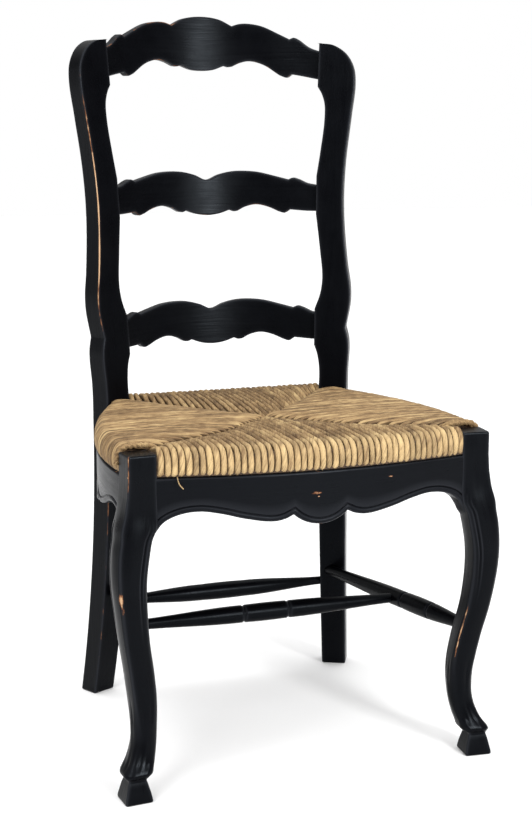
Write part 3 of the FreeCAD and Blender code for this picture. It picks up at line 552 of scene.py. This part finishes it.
def make_front_leg(side):
    rings = []
    for z, dx, dy, w, d, ease in leg_rows:
        hw, hd = w / 2.0, d / 2.0
        bead = step(z, 215.0, 320.0) * (1.0 - step(z, 362.0, 398.0))
        flute = step(z, 40.0, 52.0) * (1.0 - step(z, 112.0, 150.0))
        lip = hill(z, 38.8, 3.0)
        crown = (2.6 + 1.6 * step(z, 240.0, 330.0)) * step(z, 46.0, 110.0) * (1.0 - step(z, 350.0, 440.0))
        soft = 1.0 + 1.5 * (1.0 - step(z, 70.0, 150.0)) * step(z, 33.5, 38.0)
        knee_ease = min(ease, 2.4 + 2.6 * step(z, 120.0, 330.0)) + 6.0 * (soft - 1.0)
        wear = [0.32] * 4
        if side < 0:
            wear[1] += 0.3 * step(z, 440.0, 452.0) + 0.1 * (1.0 - step(z, 110.0, 150.0)) * step(z, 12.0, 26.0)
            wear[1] += 0.42 * hill(z, 285.0, 14.0) + 0.1 * step(z, 320.0, 350.0)
        else:
            wear[0] += 0.3 * step(z, 105.0, 130.0) * (1.0 - step(z, 250.0, 290.0))
        ring = []
        for x, y, near, corner in eased_section(-hw, hw, -hd, hd,
                                                [ease * soft, knee_ease, ease * soft, ease * soft], 24):
            on_front = abs(y + hd) < 0.01
            on_outer = abs(x - hw) < 0.01
            on_back = abs(y - hd) < 0.01
            on_inner = abs(x + hw) < 0.01
            out = groove_edge_highlight = 0.0
            # the carver's crown, the bead with its groove, a painted highlight along the groove's edges, and
            # the flutes over the toe
            if on_front or on_outer or on_back or on_inner:
                along = (x + hw) if (on_front or on_back) else (y + hd)
                whole = w if (on_front or on_back) else d
                out = crown * (0.4 if on_inner else 1.0) * math.sin(math.pi * along / whole)
                if on_front or on_outer:
                    from_inner = along if on_front else whole - along
                    out -= 2.6 * bead * hill(from_inner, groove_in, 1.2)
                    out += 1.0 * bead * hill(from_inner, bead_in, 2.2)
                    # painted highlight: both edges of the groove get an arris share, so the paint is lightened
                    # there, and they are kept from wearing through
                    groove_edge_highlight = 0.8 * bead * max(hill(from_inner, groove_in + 2.6, 1.0),
                                           hill(from_inner, groove_in - 2.6, 1.0))
                    out += lip * 1.4 * (1.0 - abs(along / whole - (1.0 if on_front else 0.0)))
                if not on_back:
                    cut = math.cos(1.5 * math.tau * (along / whole - 0.5))
                    out += flute * (1.2 * (abs(cut) ** 0.8) - 1.7) * step(near, 0.0, 3.0)
            elif corner == 1:
                out = lip * 1.8
            nx = 1.0 if on_outer else -1.0 if on_inner else 0.0
            ny = -1.0 if on_front else 1.0 if on_back else 0.0
            if nx == 0.0 and ny == 0.0:
                nx, ny = math.copysign(0.7, x), math.copysign(0.7, y)
            px, py = x + nx * out, y + ny * out
            gx = px * math.cos(leg_turn) - py * math.sin(leg_turn) + block_x + dx
            gy = px * math.sin(leg_turn) + py * math.cos(leg_turn) + block_half_d + dy + middle_y
            ring.append(((gx * side, gy, z), (x + side * 33.0, y + 50.0, z), max(arris_wear_and_sheen(near), groove_edge_highlight),
                         wear[corner] - (0.17 if groove_edge_highlight >= 0.2 else 0.0)))
        rings.append(ring)
    name = "front_leg_left" if side > 0 else "front_leg_right"
    piece = loft("carved_" + name, rings)
    piece.data.materials.append(paint)
    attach(piece, "root")
    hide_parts(name)


make_front_leg(1)
make_front_leg(-1)

# ---------------------------------------------------------------- seat aprons
# Boards under the seat, tenoned between legs and posts. The front one and the two sides swell
# outward and have a fretted lower edge, a lobe between two long waves, with a bead run along it.
# The back one is plain with a low arch.
apron_top, lobe_low, cusp, wave_low, wave_crown, wave_end = 447.0, 374.0, 389.5, 381.8, 400.6, 375.5
apron_thick = 20.0
side_bow = 26.5              # how far the side boards, and the rush above them, swell outward
board_shares = [0.25, 0.5, 0.75, 0.94, 0.985]   # where points stand between the bead and the top
back_arris = [(0.0, 17.0, 1.0), (0.0, 19.2, 1.0), (0.9, 20.0, 1.0), (3.5, 20.0, 0.3), (12.0, 20.0, 0.0)]
bead_height = 10.6
bead_and_groove = [  # above the edge, depth from the face, how much of an arris it is; on the bead and the groove's edges this share paints a highlight
    (bead_height, 0.0, 0.6), (9.9, 0.1, 0.75), (9.3, 1.3, 0.2), (8.4, 2.2, 0.0), (7.7, 1.3, 0.2),
    (6.9, -0.1, 0.65), (5.6, -0.7, 0.5), (4.0, -0.8, 0.2), (2.4, -0.4, 0.3), (1.1, 0.5, 0.95),
    (0.3, 1.8, 1.0), (0.0, 3.6, 0.6), (0.0, 10.0, 0.1)]


def apron_lower_edge(half, lobe_half):
    """Lower edge of one right half: the lobe, then the wave from the cusp to the leg and its hidden tail."""
    def between(low, high, share):
        return low + (high - low) * share

    run = [(0.0, cusp), (0.06, between(wave_low, cusp, 0.35)), (0.15, wave_low),
           (0.36, between(wave_low, wave_crown, 0.31)), (0.55, between(wave_low, wave_crown, 0.79)),
           (0.70, wave_crown), (0.85, between(wave_end, wave_crown, 0.84)),
           (0.95, between(wave_end, wave_crown, 0.46)), (1.0, wave_end)]
    wave = smooth_run([(between(lobe_half, half, share), z) for share, z in run]
                      + [(half + 6.5, wave_end - 11.0), (half + 14.0, wave_end - 20.0)], 9)
    rise = cusp - lobe_low
    radius = (lobe_half ** 2 + rise ** 2) / (2.0 * rise)
    angles = [math.asin(lobe_half / radius) * k / 18.0 for k in range(18)]
    return [(radius * math.sin(a), lobe_low + radius * (1.0 - math.cos(a))) for a in angles] + wave


def make_apron(name, half, lobe_half, bow, place, seed, marks):
    right = apron_lower_edge(half, lobe_half)
    edge = [(-x, z) for x, z in reversed(right[1:])] + right
    radius = (half ** 2 + bow ** 2) / (2.0 * bow)
    rings = []
    for i, (x, z) in enumerate(edge):
        a, b = edge[max(i - 1, 0)], edge[min(i + 1, len(edge) - 1)]
        t1 = (x - a[0], z - a[1]) if i else (b[0] - x, b[1] - z)
        t2 = (b[0] - x, b[1] - z) if i < len(edge) - 1 else t1
        n1, n2 = [(-t[1] / math.hypot(*t), t[0] / math.hypot(*t)) for t in (t1, t2)]
        dot = max(0.35, (1.0 + n1[0] * n2[0] + n1[1] * n2[1]) / 2.0)
        mitre = ((n1[0] + n2[0]) / 2.0 / dot, (n1[1] + n2[1]) / 2.0 / dot)

        def from_edge(profile):
            return [(x + mitre[0] * offset, z + mitre[1] * offset, depth, near)
                    for offset, depth, near in profile]

        base_x, base_z = x + mitre[0] * bead_height, z + mitre[1] * bead_height

        def up_board(depth):
            return [(base_x + (x - base_x) * f, base_z + (apron_top - base_z) * f, depth,
                     0.9 if f > 0.98 else 0.1)
                    for f in board_shares]

        # up the back, over the top, down the front face, then groove and bead
        points = (from_edge(back_arris) + up_board(apron_thick)
                  + [(x, apron_top, 18.6, 0.9), (x, apron_top, 1.6, 0.9), (x, apron_top - 0.5, 0.5, 1.0)]
                  + up_board(0.0)[::-1] + from_edge(bead_and_groove))
        ring = []
        for px, pz, depth, near in points:
            angle = math.asin(max(-1.0, min(1.0, px / radius)))
            bx, by = (radius - depth) * math.sin(angle), radius - bow - (radius - depth) * math.cos(angle)
            wear = 0.36 if depth < 12 else 0.2
            wear += sum(strength * hill(px, mark, size) for mark, size, strength in marks)
            ring.append((place(bx, by, pz), (pz + seed, depth, angle * radius), near, wear))
        rings.append(ring)
    piece = loft("fretted_" + name, rings)
    piece.data.materials.append(paint)
    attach(piece, "root")
    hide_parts(name)


make_apron("front_apron", 223.5, 39.0, 26.0, lambda x, y, z: (x, y + 1.95 + middle_y, z), 500.0,
           [(25.0, 30.0, 0.12), (-6.0, 8.0, 0.1)])
side_start = (261.5, -212.05)
side_end = out_of_post(0.5, post_front(420.0))
side_half = math.dist(side_start, side_end) / 2.0


def beside(side):
    """Carries a board drawn along X, swelling to -Y, to the chair's side."""
    a, b = side_start, side_end
    way = math.atan2(b[1] - a[1], b[0] - a[0])
    mid = ((a[0] + b[0]) / 2.0, (a[1] + b[1]) / 2.0)
    return lambda x, y, z: ((x * math.cos(way) - y * math.sin(way) + mid[0]) * side,
                            x * math.sin(way) + y * math.cos(way) + mid[1], z)


for side, name in ((1, "side_apron_left"), (-1, "side_apron_right")):
    make_apron(name, side_half, 25.0, side_bow, beside(side), 600.0 + 90.0 * side, [])

back_x, back_y = out_of_post(post_inner + 7.3, post_front(420.0) + 18.5)
rings = []
for k in range(61):
    x = (k / 30.0 - 1.0) * (back_x + 6.0)
    low = 396.6 + 10.0 * (1.0 - (x / (back_x + 12.0)) ** 2)
    section = eased_section(low, apron_top, back_y - apron_thick / 2.0, back_y + apron_thick / 2.0, 1.8, 5)
    rings.append([((x, y, z), (z + 760.0, y, x), arris_wear_and_sheen(near), 0.36) for z, y, near, corner in section])
rear_apron = loft("arched_rear_apron", rings)
rear_apron.data.materials.append(paint)
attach(rear_apron, "root")
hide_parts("rear_apron")

# ---------------------------------------------------------------- turned stretchers
# Turned on a lathe: the two sides and the cross one have a barrel between two cut grooves and taper
# to their ends, the back one is a plain spindle. They are driven into round holes.
def new_tree(name, sizes, others=()):
    """A Geometry Nodes tree with named inputs, and the node that gives them."""
    tree = bpy.data.node_groups.new(name, "GeometryNodeTree")
    floats = [(title, "Float", value) for title, value in sizes]
    given = [("Geometry", "Geometry", None), *floats, *others, ("Finish", "Material", None)]
    for title, kind, value in given:
        socket = tree.interface.new_socket(title, in_out="INPUT", socket_type="NodeSocket" + kind)
        if value is not None:
            socket.default_value = value
    tree.interface.new_socket("Geometry", in_out="OUTPUT", socket_type="NodeSocketGeometry")
    net = Net(tree)
    return tree, net, net.add("NodeGroupInput")


def close_tree(net, given, shape):
    shape = net.add("GeometryNodeRealizeInstances", None, {"Geometry": shape})["Geometry"]
    shape = net.add("GeometryNodeSetMaterial", None, {"Geometry": shape, "Material": given["Finish"]})
    net.add("NodeGroupOutput", None, {"Geometry": shape["Geometry"]})


def turned_tree():
    tree, net, given = new_tree("turned_spindle", (
        ("Length", 0.4), ("End Radius", 0.008), ("Swell Radius", 0.0135), ("Barrel Middle", 0.2),
        ("Barrel Half", 0.0355), ("Groove Depth", 0.0022)))
    length, end_r, swell = given["Length"], given["End Radius"], given["Swell Radius"]
    middle, half, depth = given["Barrel Middle"], given["Barrel Half"], given["Groove Depth"]
    line = net.add("GeometryNodeCurvePrimitiveLine", None, {"Start": (0, 0, 0), "End": net.vector(z=length)})
    line = net.add("GeometryNodeResampleCurve", None, {"Curve": line["Curve"], "Count": 300})["Curve"]
    along = net.add("GeometryNodeSplineParameter")["Length"]
    off = (along - middle).maths("ABSOLUTE")
    # the taper to both ends, the barrel with its slight belly, a groove at each end of it, fine tool lines
    share = (along / middle).maths("MINIMUM", (length - along) / (length - middle)).maths("MAXIMUM", 0.0)
    taper = (share * 1.28).maths("MINIMUM", 1.0).ramp(0.05, 1.0)
    in_barrel = 1.0 - (off - half).ramp(-0.0004, 0.0004)
    belly = 0.0006 * (1.0 - (off / half).maths("POWER", 2.0).maths("MINIMUM", 1.0))
    cut = ((off - half) / 0.0016).maths("POWER", 2.0)
    groove = (cut * -1.0).maths("EXPONENT") * depth
    lines = net.noise(net.vector(z=along), 240.0, 2.0)
    radius = end_r + (swell - end_r) * taper + in_barrel * belly - groove + (lines - 0.5) * 0.00025
    # the edges of the grooves are given an arris share: the paint wears there and is lightened as a painted
    # sheen
    edge = (off - half - 0.0024).maths("ABSOLUTE")
    edge = edge.maths("MINIMUM", (off - half + 0.0024).maths("ABSOLUTE"))
    line = net.store(line, "arris", (edge / -0.0012).maths("EXPONENT") * depth * 400.0)
    line = net.store(line, "worn", 0.42)
    ring = net.add("GeometryNodeCurvePrimitiveCircle", None, {"Resolution": 40, "Radius": 1.0})["Curve"]
    tube = net.add("GeometryNodeCurveToMesh", None, {"Curve": line, "Profile Curve": ring, "Fill Caps": True,
                                                     "Scale": radius})["Mesh"]
    tube = net.store(tube, "lie", net.add("GeometryNodeInputPosition")["Position"], "FLOAT_VECTOR")
    close_tree(net, given, tube)
    return tree


def grown(name, host_mesh, tree, values):
    """The plain mesh a tree grows on a host mesh, as a new object."""
    host = bpy.data.objects.new(name + "_host", host_mesh)
    bpy.context.scene.collection.objects.link(host)
    modifier = host.modifiers.new("grow", "NODES")
    modifier.node_group = tree
    for item in tree.interface.items_tree:
        if item.in_out == "INPUT" and item.name in values:
            modifier[item.identifier] = values[item.name]
    seen = host.evaluated_get(bpy.context.evaluated_depsgraph_get())
    mesh = bpy.data.meshes.new_from_object(seen)
    mesh.name = name
    host.modifiers.remove(modifier)
    bpy.data.objects.remove(host)
    return mesh


spindle_tree = turned_tree()
swell_r, groove_cut = 13.2, 2.2
side_front_z, side_back_z, rear_z, let_in = 187.0, 173.0, 152.0, 14.0


def make_stretcher(name, start, end, end_r, barrel_share, groove_depth):
    axis = end - start
    dot = bpy.data.meshes.new(name + "_dot")
    dot.from_pydata([(0, 0, 0)], [], [])
    mesh = grown("turned_" + name, dot, spindle_tree,
                 {"Length": axis.length * MM, "End Radius": end_r * MM, "Swell Radius": swell_r * MM,
                  "Barrel Middle": axis.length * barrel_share * MM, "Groove Depth": groove_depth * MM,
                  "Finish": paint})
    turn = axis.to_track_quat("Z", "Y").to_matrix().to_4x4()
    mesh.transform(Matrix.Translation(start * MM) @ turn)
    piece = finished("turned_" + name, mesh)
    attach(piece, "root")
    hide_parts(name)


at_leg = Vector((245.8, 24.4 + 17.0 + middle_y, side_front_z))
at_post = Vector(out_of_post(-20.0, post_front(side_back_z)) + (side_back_z,))
beyond = (at_post - at_leg).normalized() * let_in
side_from, side_to = at_leg - beyond, at_post + beyond
for name, side in (("side_stretcher_left", 1), ("side_stretcher_right", -1)):
    across = Vector((side, 1, 1))
    make_stretcher(name, side_from * across, side_to * across, 8.5, 0.312, groove_cut)
cross = side_from.lerp(side_to, (209.0 + middle_y - side_from.y) / (side_to.y - side_from.y))
make_stretcher("cross_stretcher", Vector((-cross.x, cross.y, cross.z)), cross, 7.6, 0.5, groove_cut)
rear_x = out_of_post(post_inner + 7.0, post_front(rear_z) + 17.0)[0] + let_in
rear_y = out_of_post(-20.0, post_front(rear_z) + 18.0)[1]
make_stretcher("rear_stretcher", Vector((-rear_x, rear_y, rear_z)), Vector((rear_x, rear_y, rear_z)),
               6.5, 0.5, 0.0)

# ---------------------------------------------------------------- seat rails
# Four rounded beech rails carry the seat, tenoned into legs and posts. They are left unpainted,
# because the rush covers them.
beech, net = new_finish("bare_beech")
place = net.add("ShaderNodeTexCoord")["Object"]
rays = net.noise(net.stretch(place, 0.12, 1.0, 1.0), 190.0, 4.0, 0.6)
fleck = net.noise(place, 900.0, 2.0)
tone = net.blend(rays.ramp(0.3, 0.7), (0.15, 0.085, 0.045, 1), (0.24, 0.15, 0.085, 1))
tone = net.blend(fleck.ramp(0.62, 0.75), tone, (0.22, 0.12, 0.06, 1))
close_finish(net, tone, 0.55 + rays * 0.2, rays + fleck * 0.4, 0.3, 0.0006)
for name in ("seat_rail_front", "seat_rail_left", "seat_rail_right", "seat_rail_rear"):
    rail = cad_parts[name]
    rail.data.materials.clear()
    rail.data.materials.append(beech)

# ---------------------------------------------------------------- rush seat
# Rush leaves are twisted into a cord that is wound over the four rails, corner by corner, so that
# four fields of strands meet along seams. Front and back strands are tight and round, the side
# ones broader and smoother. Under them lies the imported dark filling.
rush_low, rush_top, back_line = 449.0, 488.5, 185.0
strand_r, broad_strand_r = 4.7, 4.0      # the tight ones at front and back, and the side ones
front_pitch, back_pitch, side_pitch = 9.05, 8.9, 7.3
front_sweep, front_end = 35.0, -248.1
side_first, side_count = -206.0, 48
seam_front = [(0.0, -40.0), (35.0, -74.0), (83.0, -122.0), (127.0, -152.0), (169.0, -172.0), (222.0, -207.0)]
seam_back = [(0.0, -40.0), (33.0, -14.0), (70.0, 30.0), (99.0, 66.0), (124.0, 100.0), (152.0, 142.0)]


def front_line(x):
    """Front edge of the rush at x."""
    radius = (block_x ** 2 + front_sweep ** 2) / (2.0 * front_sweep)
    return front_end - front_sweep + radius - math.sqrt(radius ** 2 - x ** 2)


def side_line(y):
    """Outer edge of the rush at y."""
    t = (y + 212.0) / 340.5
    return 266.0 - 67.5 * t + side_bow * 4.0 * max(0.0, t) * max(0.0, 1.0 - t)


def over_rail(edge, inner, height, way, r, fall):
    """Route of one strand: under the rail, up its face, over it and along to the seam."""
    over = height - r
    route = [(edge + way * d, z) for d, z in (
        (17.0, rush_low + r + 1.0), (9.0, rush_low + r * 0.9), (r + 1.0, rush_low + r + 2.0),
        (r, rush_low + 12.0), (r + 0.3, rush_low + 20.0), (r + 3.0, rush_low + 28.0),
        (r + 8.5, over - 1.9), (r + 15.0, over - 0.2))]
    span = abs(inner - edge)
    if span < 28.0:
        return route[:-1] + [(inner - way * 2.0, over - 4.0), (inner, over - 12.0)]
    n = max(1, int((span - 22.0) / 22.0))
    for k in range(1, n + 1):
        f = k / n
        hump = 1.6 * math.sin(math.pi * min(1.0, f * 0.9)) - fall * f ** 3
        route.append((edge + way * (13.0 + r + (span - 23.0 - r) * f), over + hump))
    return route + [(inner - way * 3.5, over - fall - 2.5), (inner + way * 1.0, over - fall - 9.0)]


def front_routes():
    routes = []
    for i in range(-24, 25):
        x = i * front_pitch
        inner = follow(seam_front, abs(x)) + (2.5 if x < 0.0 else -2.0)
        flat = over_rail(front_line(x), inner, rush_top, 1.0, strand_r, 6.5)
        routes.append([(x, y, z) for y, z in flat])
    return routes


def back_routes():
    routes = []
    for i in range(-18, 19):
        x = i * back_pitch
        inner = follow(seam_back, abs(x)) + 2.0
        flat = over_rail(back_line, inner, rush_top + 2.0, -1.0, strand_r, 7.5)
        routes.append([(x, y, z) for y, z in flat])
    return routes


def side_routes(side):
    seam = [(b, a) for a, b in seam_front[:0:-1] + seam_back]
    routes = []
    for j in range(side_count):
        y = side_first + j * side_pitch
        inner = max(follow(seam, y) - 3.0, 2.0)
        flat = over_rail(side_line(min(y, 126.0)), inner, rush_top + 0.6, -1.0, broad_strand_r, 3.5)
        routes.append([(x * side, y, z) for x, z in flat])
    return routes


def strand_tree():
    tree, net, given = new_tree("twisted_strands", (
        ("Radius", 0.0043), ("Breadth", 1.0), ("Lobes", 0.07), ("Turns Per Metre", 16.0), ("Step", 0.003),
        ("Wander", 0.0006), ("Unevenness", 0.1)), (("Across", "Vector", (1, 0, 0)), ("Seed", "Int", None)))
    turns, breadth, uneven = given["Turns Per Metre"], given["Breadth"], given["Unevenness"]
    cords = net.add("GeometryNodeMeshToCurve", None, {"Mesh": given["Geometry"]})["Curve"]
    cords = net.add("GeometryNodeCurveSplineType", {"spline_type": "CATMULL_ROM"}, {"Curve": cords})["Curve"]
    cords = net.add("GeometryNodeSetSplineResolution", None, {"Geometry": cords, "Resolution": 8})["Geometry"]
    cords = net.add("GeometryNodeResampleCurve", {"mode": "LENGTH"}, {"Curve": cords, "Length": given["Step"]})
    number = net.add("GeometryNodeCurveOfPoint")["Curve Index"]
    along = net.add("GeometryNodeSplineParameter")["Length"]
    own = net.add("FunctionNodeRandomValue", {"data_type": "FLOAT"}, {"ID": number, "Seed": given["Seed"]})[1]
    # each strand wanders a little from its route, turns as it was twisted and is thicker here and there
    where = net.vector(own * 40.0, number * 3.7, along)
    shift = net.vectors("SUBTRACT", net.noise(where, 26.0, 2.0, out="Color"), (0.5, 0.5, 0.5))
    wander = given["Wander"] * 2.0
    shift = net.vectors("MULTIPLY", shift, net.vector(wander, wander, wander))
    cords = net.add("GeometryNodeSetPosition", None, {"Geometry": cords["Curve"], "Offset": shift})["Geometry"]
    swell = net.noise(where, 60.0, 2.0) - 0.5
    turn = along * turns * math.tau + own * math.tau * turns.maths("MINIMUM", 1.0)
    cords = net.add("GeometryNodeSetCurveTilt", None, {"Curve": cords, "Tilt": turn + swell * 0.9})["Curve"]
    cords = net.store(net.store(cords, "along", along), "strand", own)
    ring = net.add("GeometryNodeCurvePrimitiveCircle", None, {"Resolution": 10, "Radius": 1.0})["Curve"]
    around = net.add("GeometryNodeSplineParameter")["Factor"]
    lobe = 1.0 + (around * 2.0 * math.tau).maths("COSINE") * given["Lobes"]
    spot = net.vectors("MULTIPLY", net.add("GeometryNodeInputPosition")["Position"],
                       net.vector(lobe * breadth, lobe / breadth, 1.0))
    ring = net.add("GeometryNodeSetPosition", None, {"Geometry": ring, "Position": spot})["Geometry"]
    ring = net.store(ring, "around", around)
    thick = given["Radius"] * (1.0 + swell * uneven * 3.0 + (own - 0.5) * uneven)
    tubes = net.add("GeometryNodeCurveToMesh", None, {"Curve": cords, "Profile Curve": ring, "Fill Caps": True,
                                                      "Scale": thick})["Mesh"]
    # how much the surface faces the neighbouring strands, for the painted shade where they press together
    facing = net.add("GeometryNodeInputNormal")["Normal"]
    flank_shade = net.vectors("DOT_PRODUCT", facing, given["Across"], "Value").maths("ABSOLUTE")
    close_tree(net, given, net.store(tubes, "flank_shade", flank_shade))
    return tree


rush, net = new_finish("twisted_rush")
along, strand, flank_shade = net.attribute("along"), net.attribute("strand"), net.attribute("flank_shade")
turned = net.attribute("around") * math.tau
wrap = net.vector(turned.maths("COSINE") * 0.005 + strand * 3.1, turned.maths("SINE") * 0.005, along)
place = net.add("ShaderNodeTexCoord")["Object"]
fibre = net.noise(net.stretch(wrap, 1.0, 1.0, 0.09), 900.0, 3.0, 0.6)
leaf = net.noise(net.stretch(wrap, 1.0, 1.0, 0.25), 180.0, 3.0, 0.55)
tone = net.noise(net.stretch(wrap, 0.6, 0.6, 0.5), 60.0, 3.0, 0.6)
field = net.noise(place, 14.0, 3.0, 0.6)
mixed = tone * 0.9 + strand * 0.3 + field * 0.5 - 0.39
straw = net.add("ShaderNodeValToRGB", {"stops": [(0.2, (0.075, 0.04, 0.016)), (0.4, (0.18, 0.107, 0.046)),
                                                 (0.55, (0.29, 0.185, 0.084)), (0.75, (0.45, 0.315, 0.15))]},
                {"Fac": mixed})["Color"]
# painted light: the strands rolled over the front edge are painted a paler straw, as if lit more strongly than
# the rest
lit_forward = 0.0 - net.add("ShaderNodeSeparateXYZ", None, {"Vector": place})["Y"]
straw = net.blend(lit_forward.ramp(0.24, 0.258) * tone * 0.6, straw, (0.66, 0.49, 0.25, 1))
straw = net.blend(leaf.ramp(0.52, 0.68) * 0.65, straw, (0.1, 0.05, 0.02, 1))
straw = net.blend(fibre.ramp(0.46, 0.75) * 0.5, straw, (0.6, 0.44, 0.22, 1))
straw = net.blend((1.0 - fibre).ramp(0.52, 0.72) * 0.6, straw, (0.075, 0.038, 0.016, 1))
# painted shade: the flanks of each strand, where it lies against its neighbours, are darkened as if in shadow
straw = net.blend(flank_shade.ramp(0.7, 0.98) * 0.72, straw, (0.035, 0.018, 0.008, 1))
close_finish(net, straw, 0.62 + fibre * 0.25, fibre * 0.6 + leaf * 0.8, 0.55, 0.0009,
             {"Specular IOR Level": 0.3})


def route_mesh(name, routes):
    verts, edges = [], []
    for route in routes:
        first = len(verts)
        verts += [tuple(c * MM for c in p) for p in route]
        edges += [(first + k, first + k + 1) for k in range(len(route) - 1)]
    mesh = bpy.data.meshes.new(name)
    mesh.from_pydata(verts, edges, [])
    return mesh


def corner_routes():
    """The two cords that close the rush behind each front block."""
    out = side_line(-205.0)
    routes = []
    for side in (-1, 1):
        for y, z in ((-209.0, 485.6), (-203.6, 486.2)):
            routes.append([(side * x, y, z - drop) for x, drop in (
                (212.0, 6.0), (220.0, 1.0), (234.0, 0.0), (248.0, 0.3), (out - 8.0, 3.0), (out - 2.5, 10.0),
                (out - 1.0, 24.0))])
    return routes


def loose_end():
    """A stray blade of rush that hangs from under the front edge."""
    return [[(-197.0, -258.0, 450.0), (-196.5, -262.5, 443.5), (-194.0, -264.5, 438.5),
             (-190.5, -265.5, 435.0)]]


strands = strand_tree()
side_cord = {"Breadth": 1.2, "Lobes": 0.08, "Turns Per Metre": 0.0, "Radius": 0.0037, "Across": (0, 1, 0),
             "Wander": 0.0009}
for name, routes, seed, values in (
        ("rush_corners", corner_routes(), 13, {"Turns Per Metre": 70.0, "Radius": 0.0034, "Lobes": 0.22,
                                               "Across": (0, 1, 0)}),
        ("rush_loose_end", loose_end(), 17, {"Turns Per Metre": 0.0, "Radius": 0.0005, "Breadth": 1.4}),
        ("rush_front", front_routes(), 3, {"Lobes": 0.04, "Wander": 0.0009, "Unevenness": 0.13,
                                           "Radius": 0.0044}),
        ("rush_back", back_routes(), 5, {"Turns Per Metre": 14.0, "Lobes": 0.05, "Radius": 0.0042,
                                         "Unevenness": 0.16}),
        ("rush_left", side_routes(1), 7, side_cord),
        ("rush_right", side_routes(-1), 9, side_cord)):
    mesh = grown(name, route_mesh(name + "_routes", routes), strands,
                 {"Seed": seed, "Finish": rush, **values})
    piece = finished(name, mesh)
    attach(piece, "root")
    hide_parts("rush_seat")

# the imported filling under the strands
right = [(x, front_line(x) + 5.5) for x in (*range(0, 205, 12), 216, 226)] + [(226.0, -207.0)]
right += [(side_line(y) - 6.0, y) for y in range(-204, 127, 10)]
right += [(186.0, 128.0), (152.0, 128.0), (150.0, back_line - 6.0)]
outline = right + [(-x, y) for x, y in reversed(right[1:])]
dark, net = new_finish("packed_filling")
chaff = net.noise(net.add("ShaderNodeTexCoord")["Object"], 240.0, 4.0, 0.6)
tone = net.blend(chaff.ramp(0.35, 0.7), (0.022, 0.012, 0.006, 1), (0.09, 0.05, 0.024, 1))
close_finish(net, tone, 0.8 + chaff * 0.15, chaff, 0.8, 0.002)
verts, faces = [], []
count = len(outline)
for z, shrink in ((rush_low + 0.6, 1.0), (rush_low + 6.0, 1.0), (rush_top - 12.0, 1.0),
                  (rush_top - 8.0, 0.97)):
    verts += [(x * shrink * MM, ((y + 40.0) * shrink - 40.0) * MM, z * MM) for x, y in outline]
for k in range(3):
    for i in range(count):
        j = (i + 1) % count
        faces.append((k * count + i, k * count + j, (k + 1) * count + j, (k + 1) * count + i))
verts += [(0.0, -0.04, (rush_low + 0.6) * MM), (0.0, -0.04, (rush_top - 11.0) * MM)]
for i in range(count):
    j = (i + 1) % count
    faces.append((i, j, 4 * count))
    faces.append((3 * count + i, 3 * count + j, 4 * count + 1))
mesh = bpy.data.meshes.new("rush_filling")
mesh.from_pydata(verts, [], faces)
filling = finished("rush_filling", mesh)
filling.data.materials.append(dark)
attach(filling, "root")
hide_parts("rush_seat")
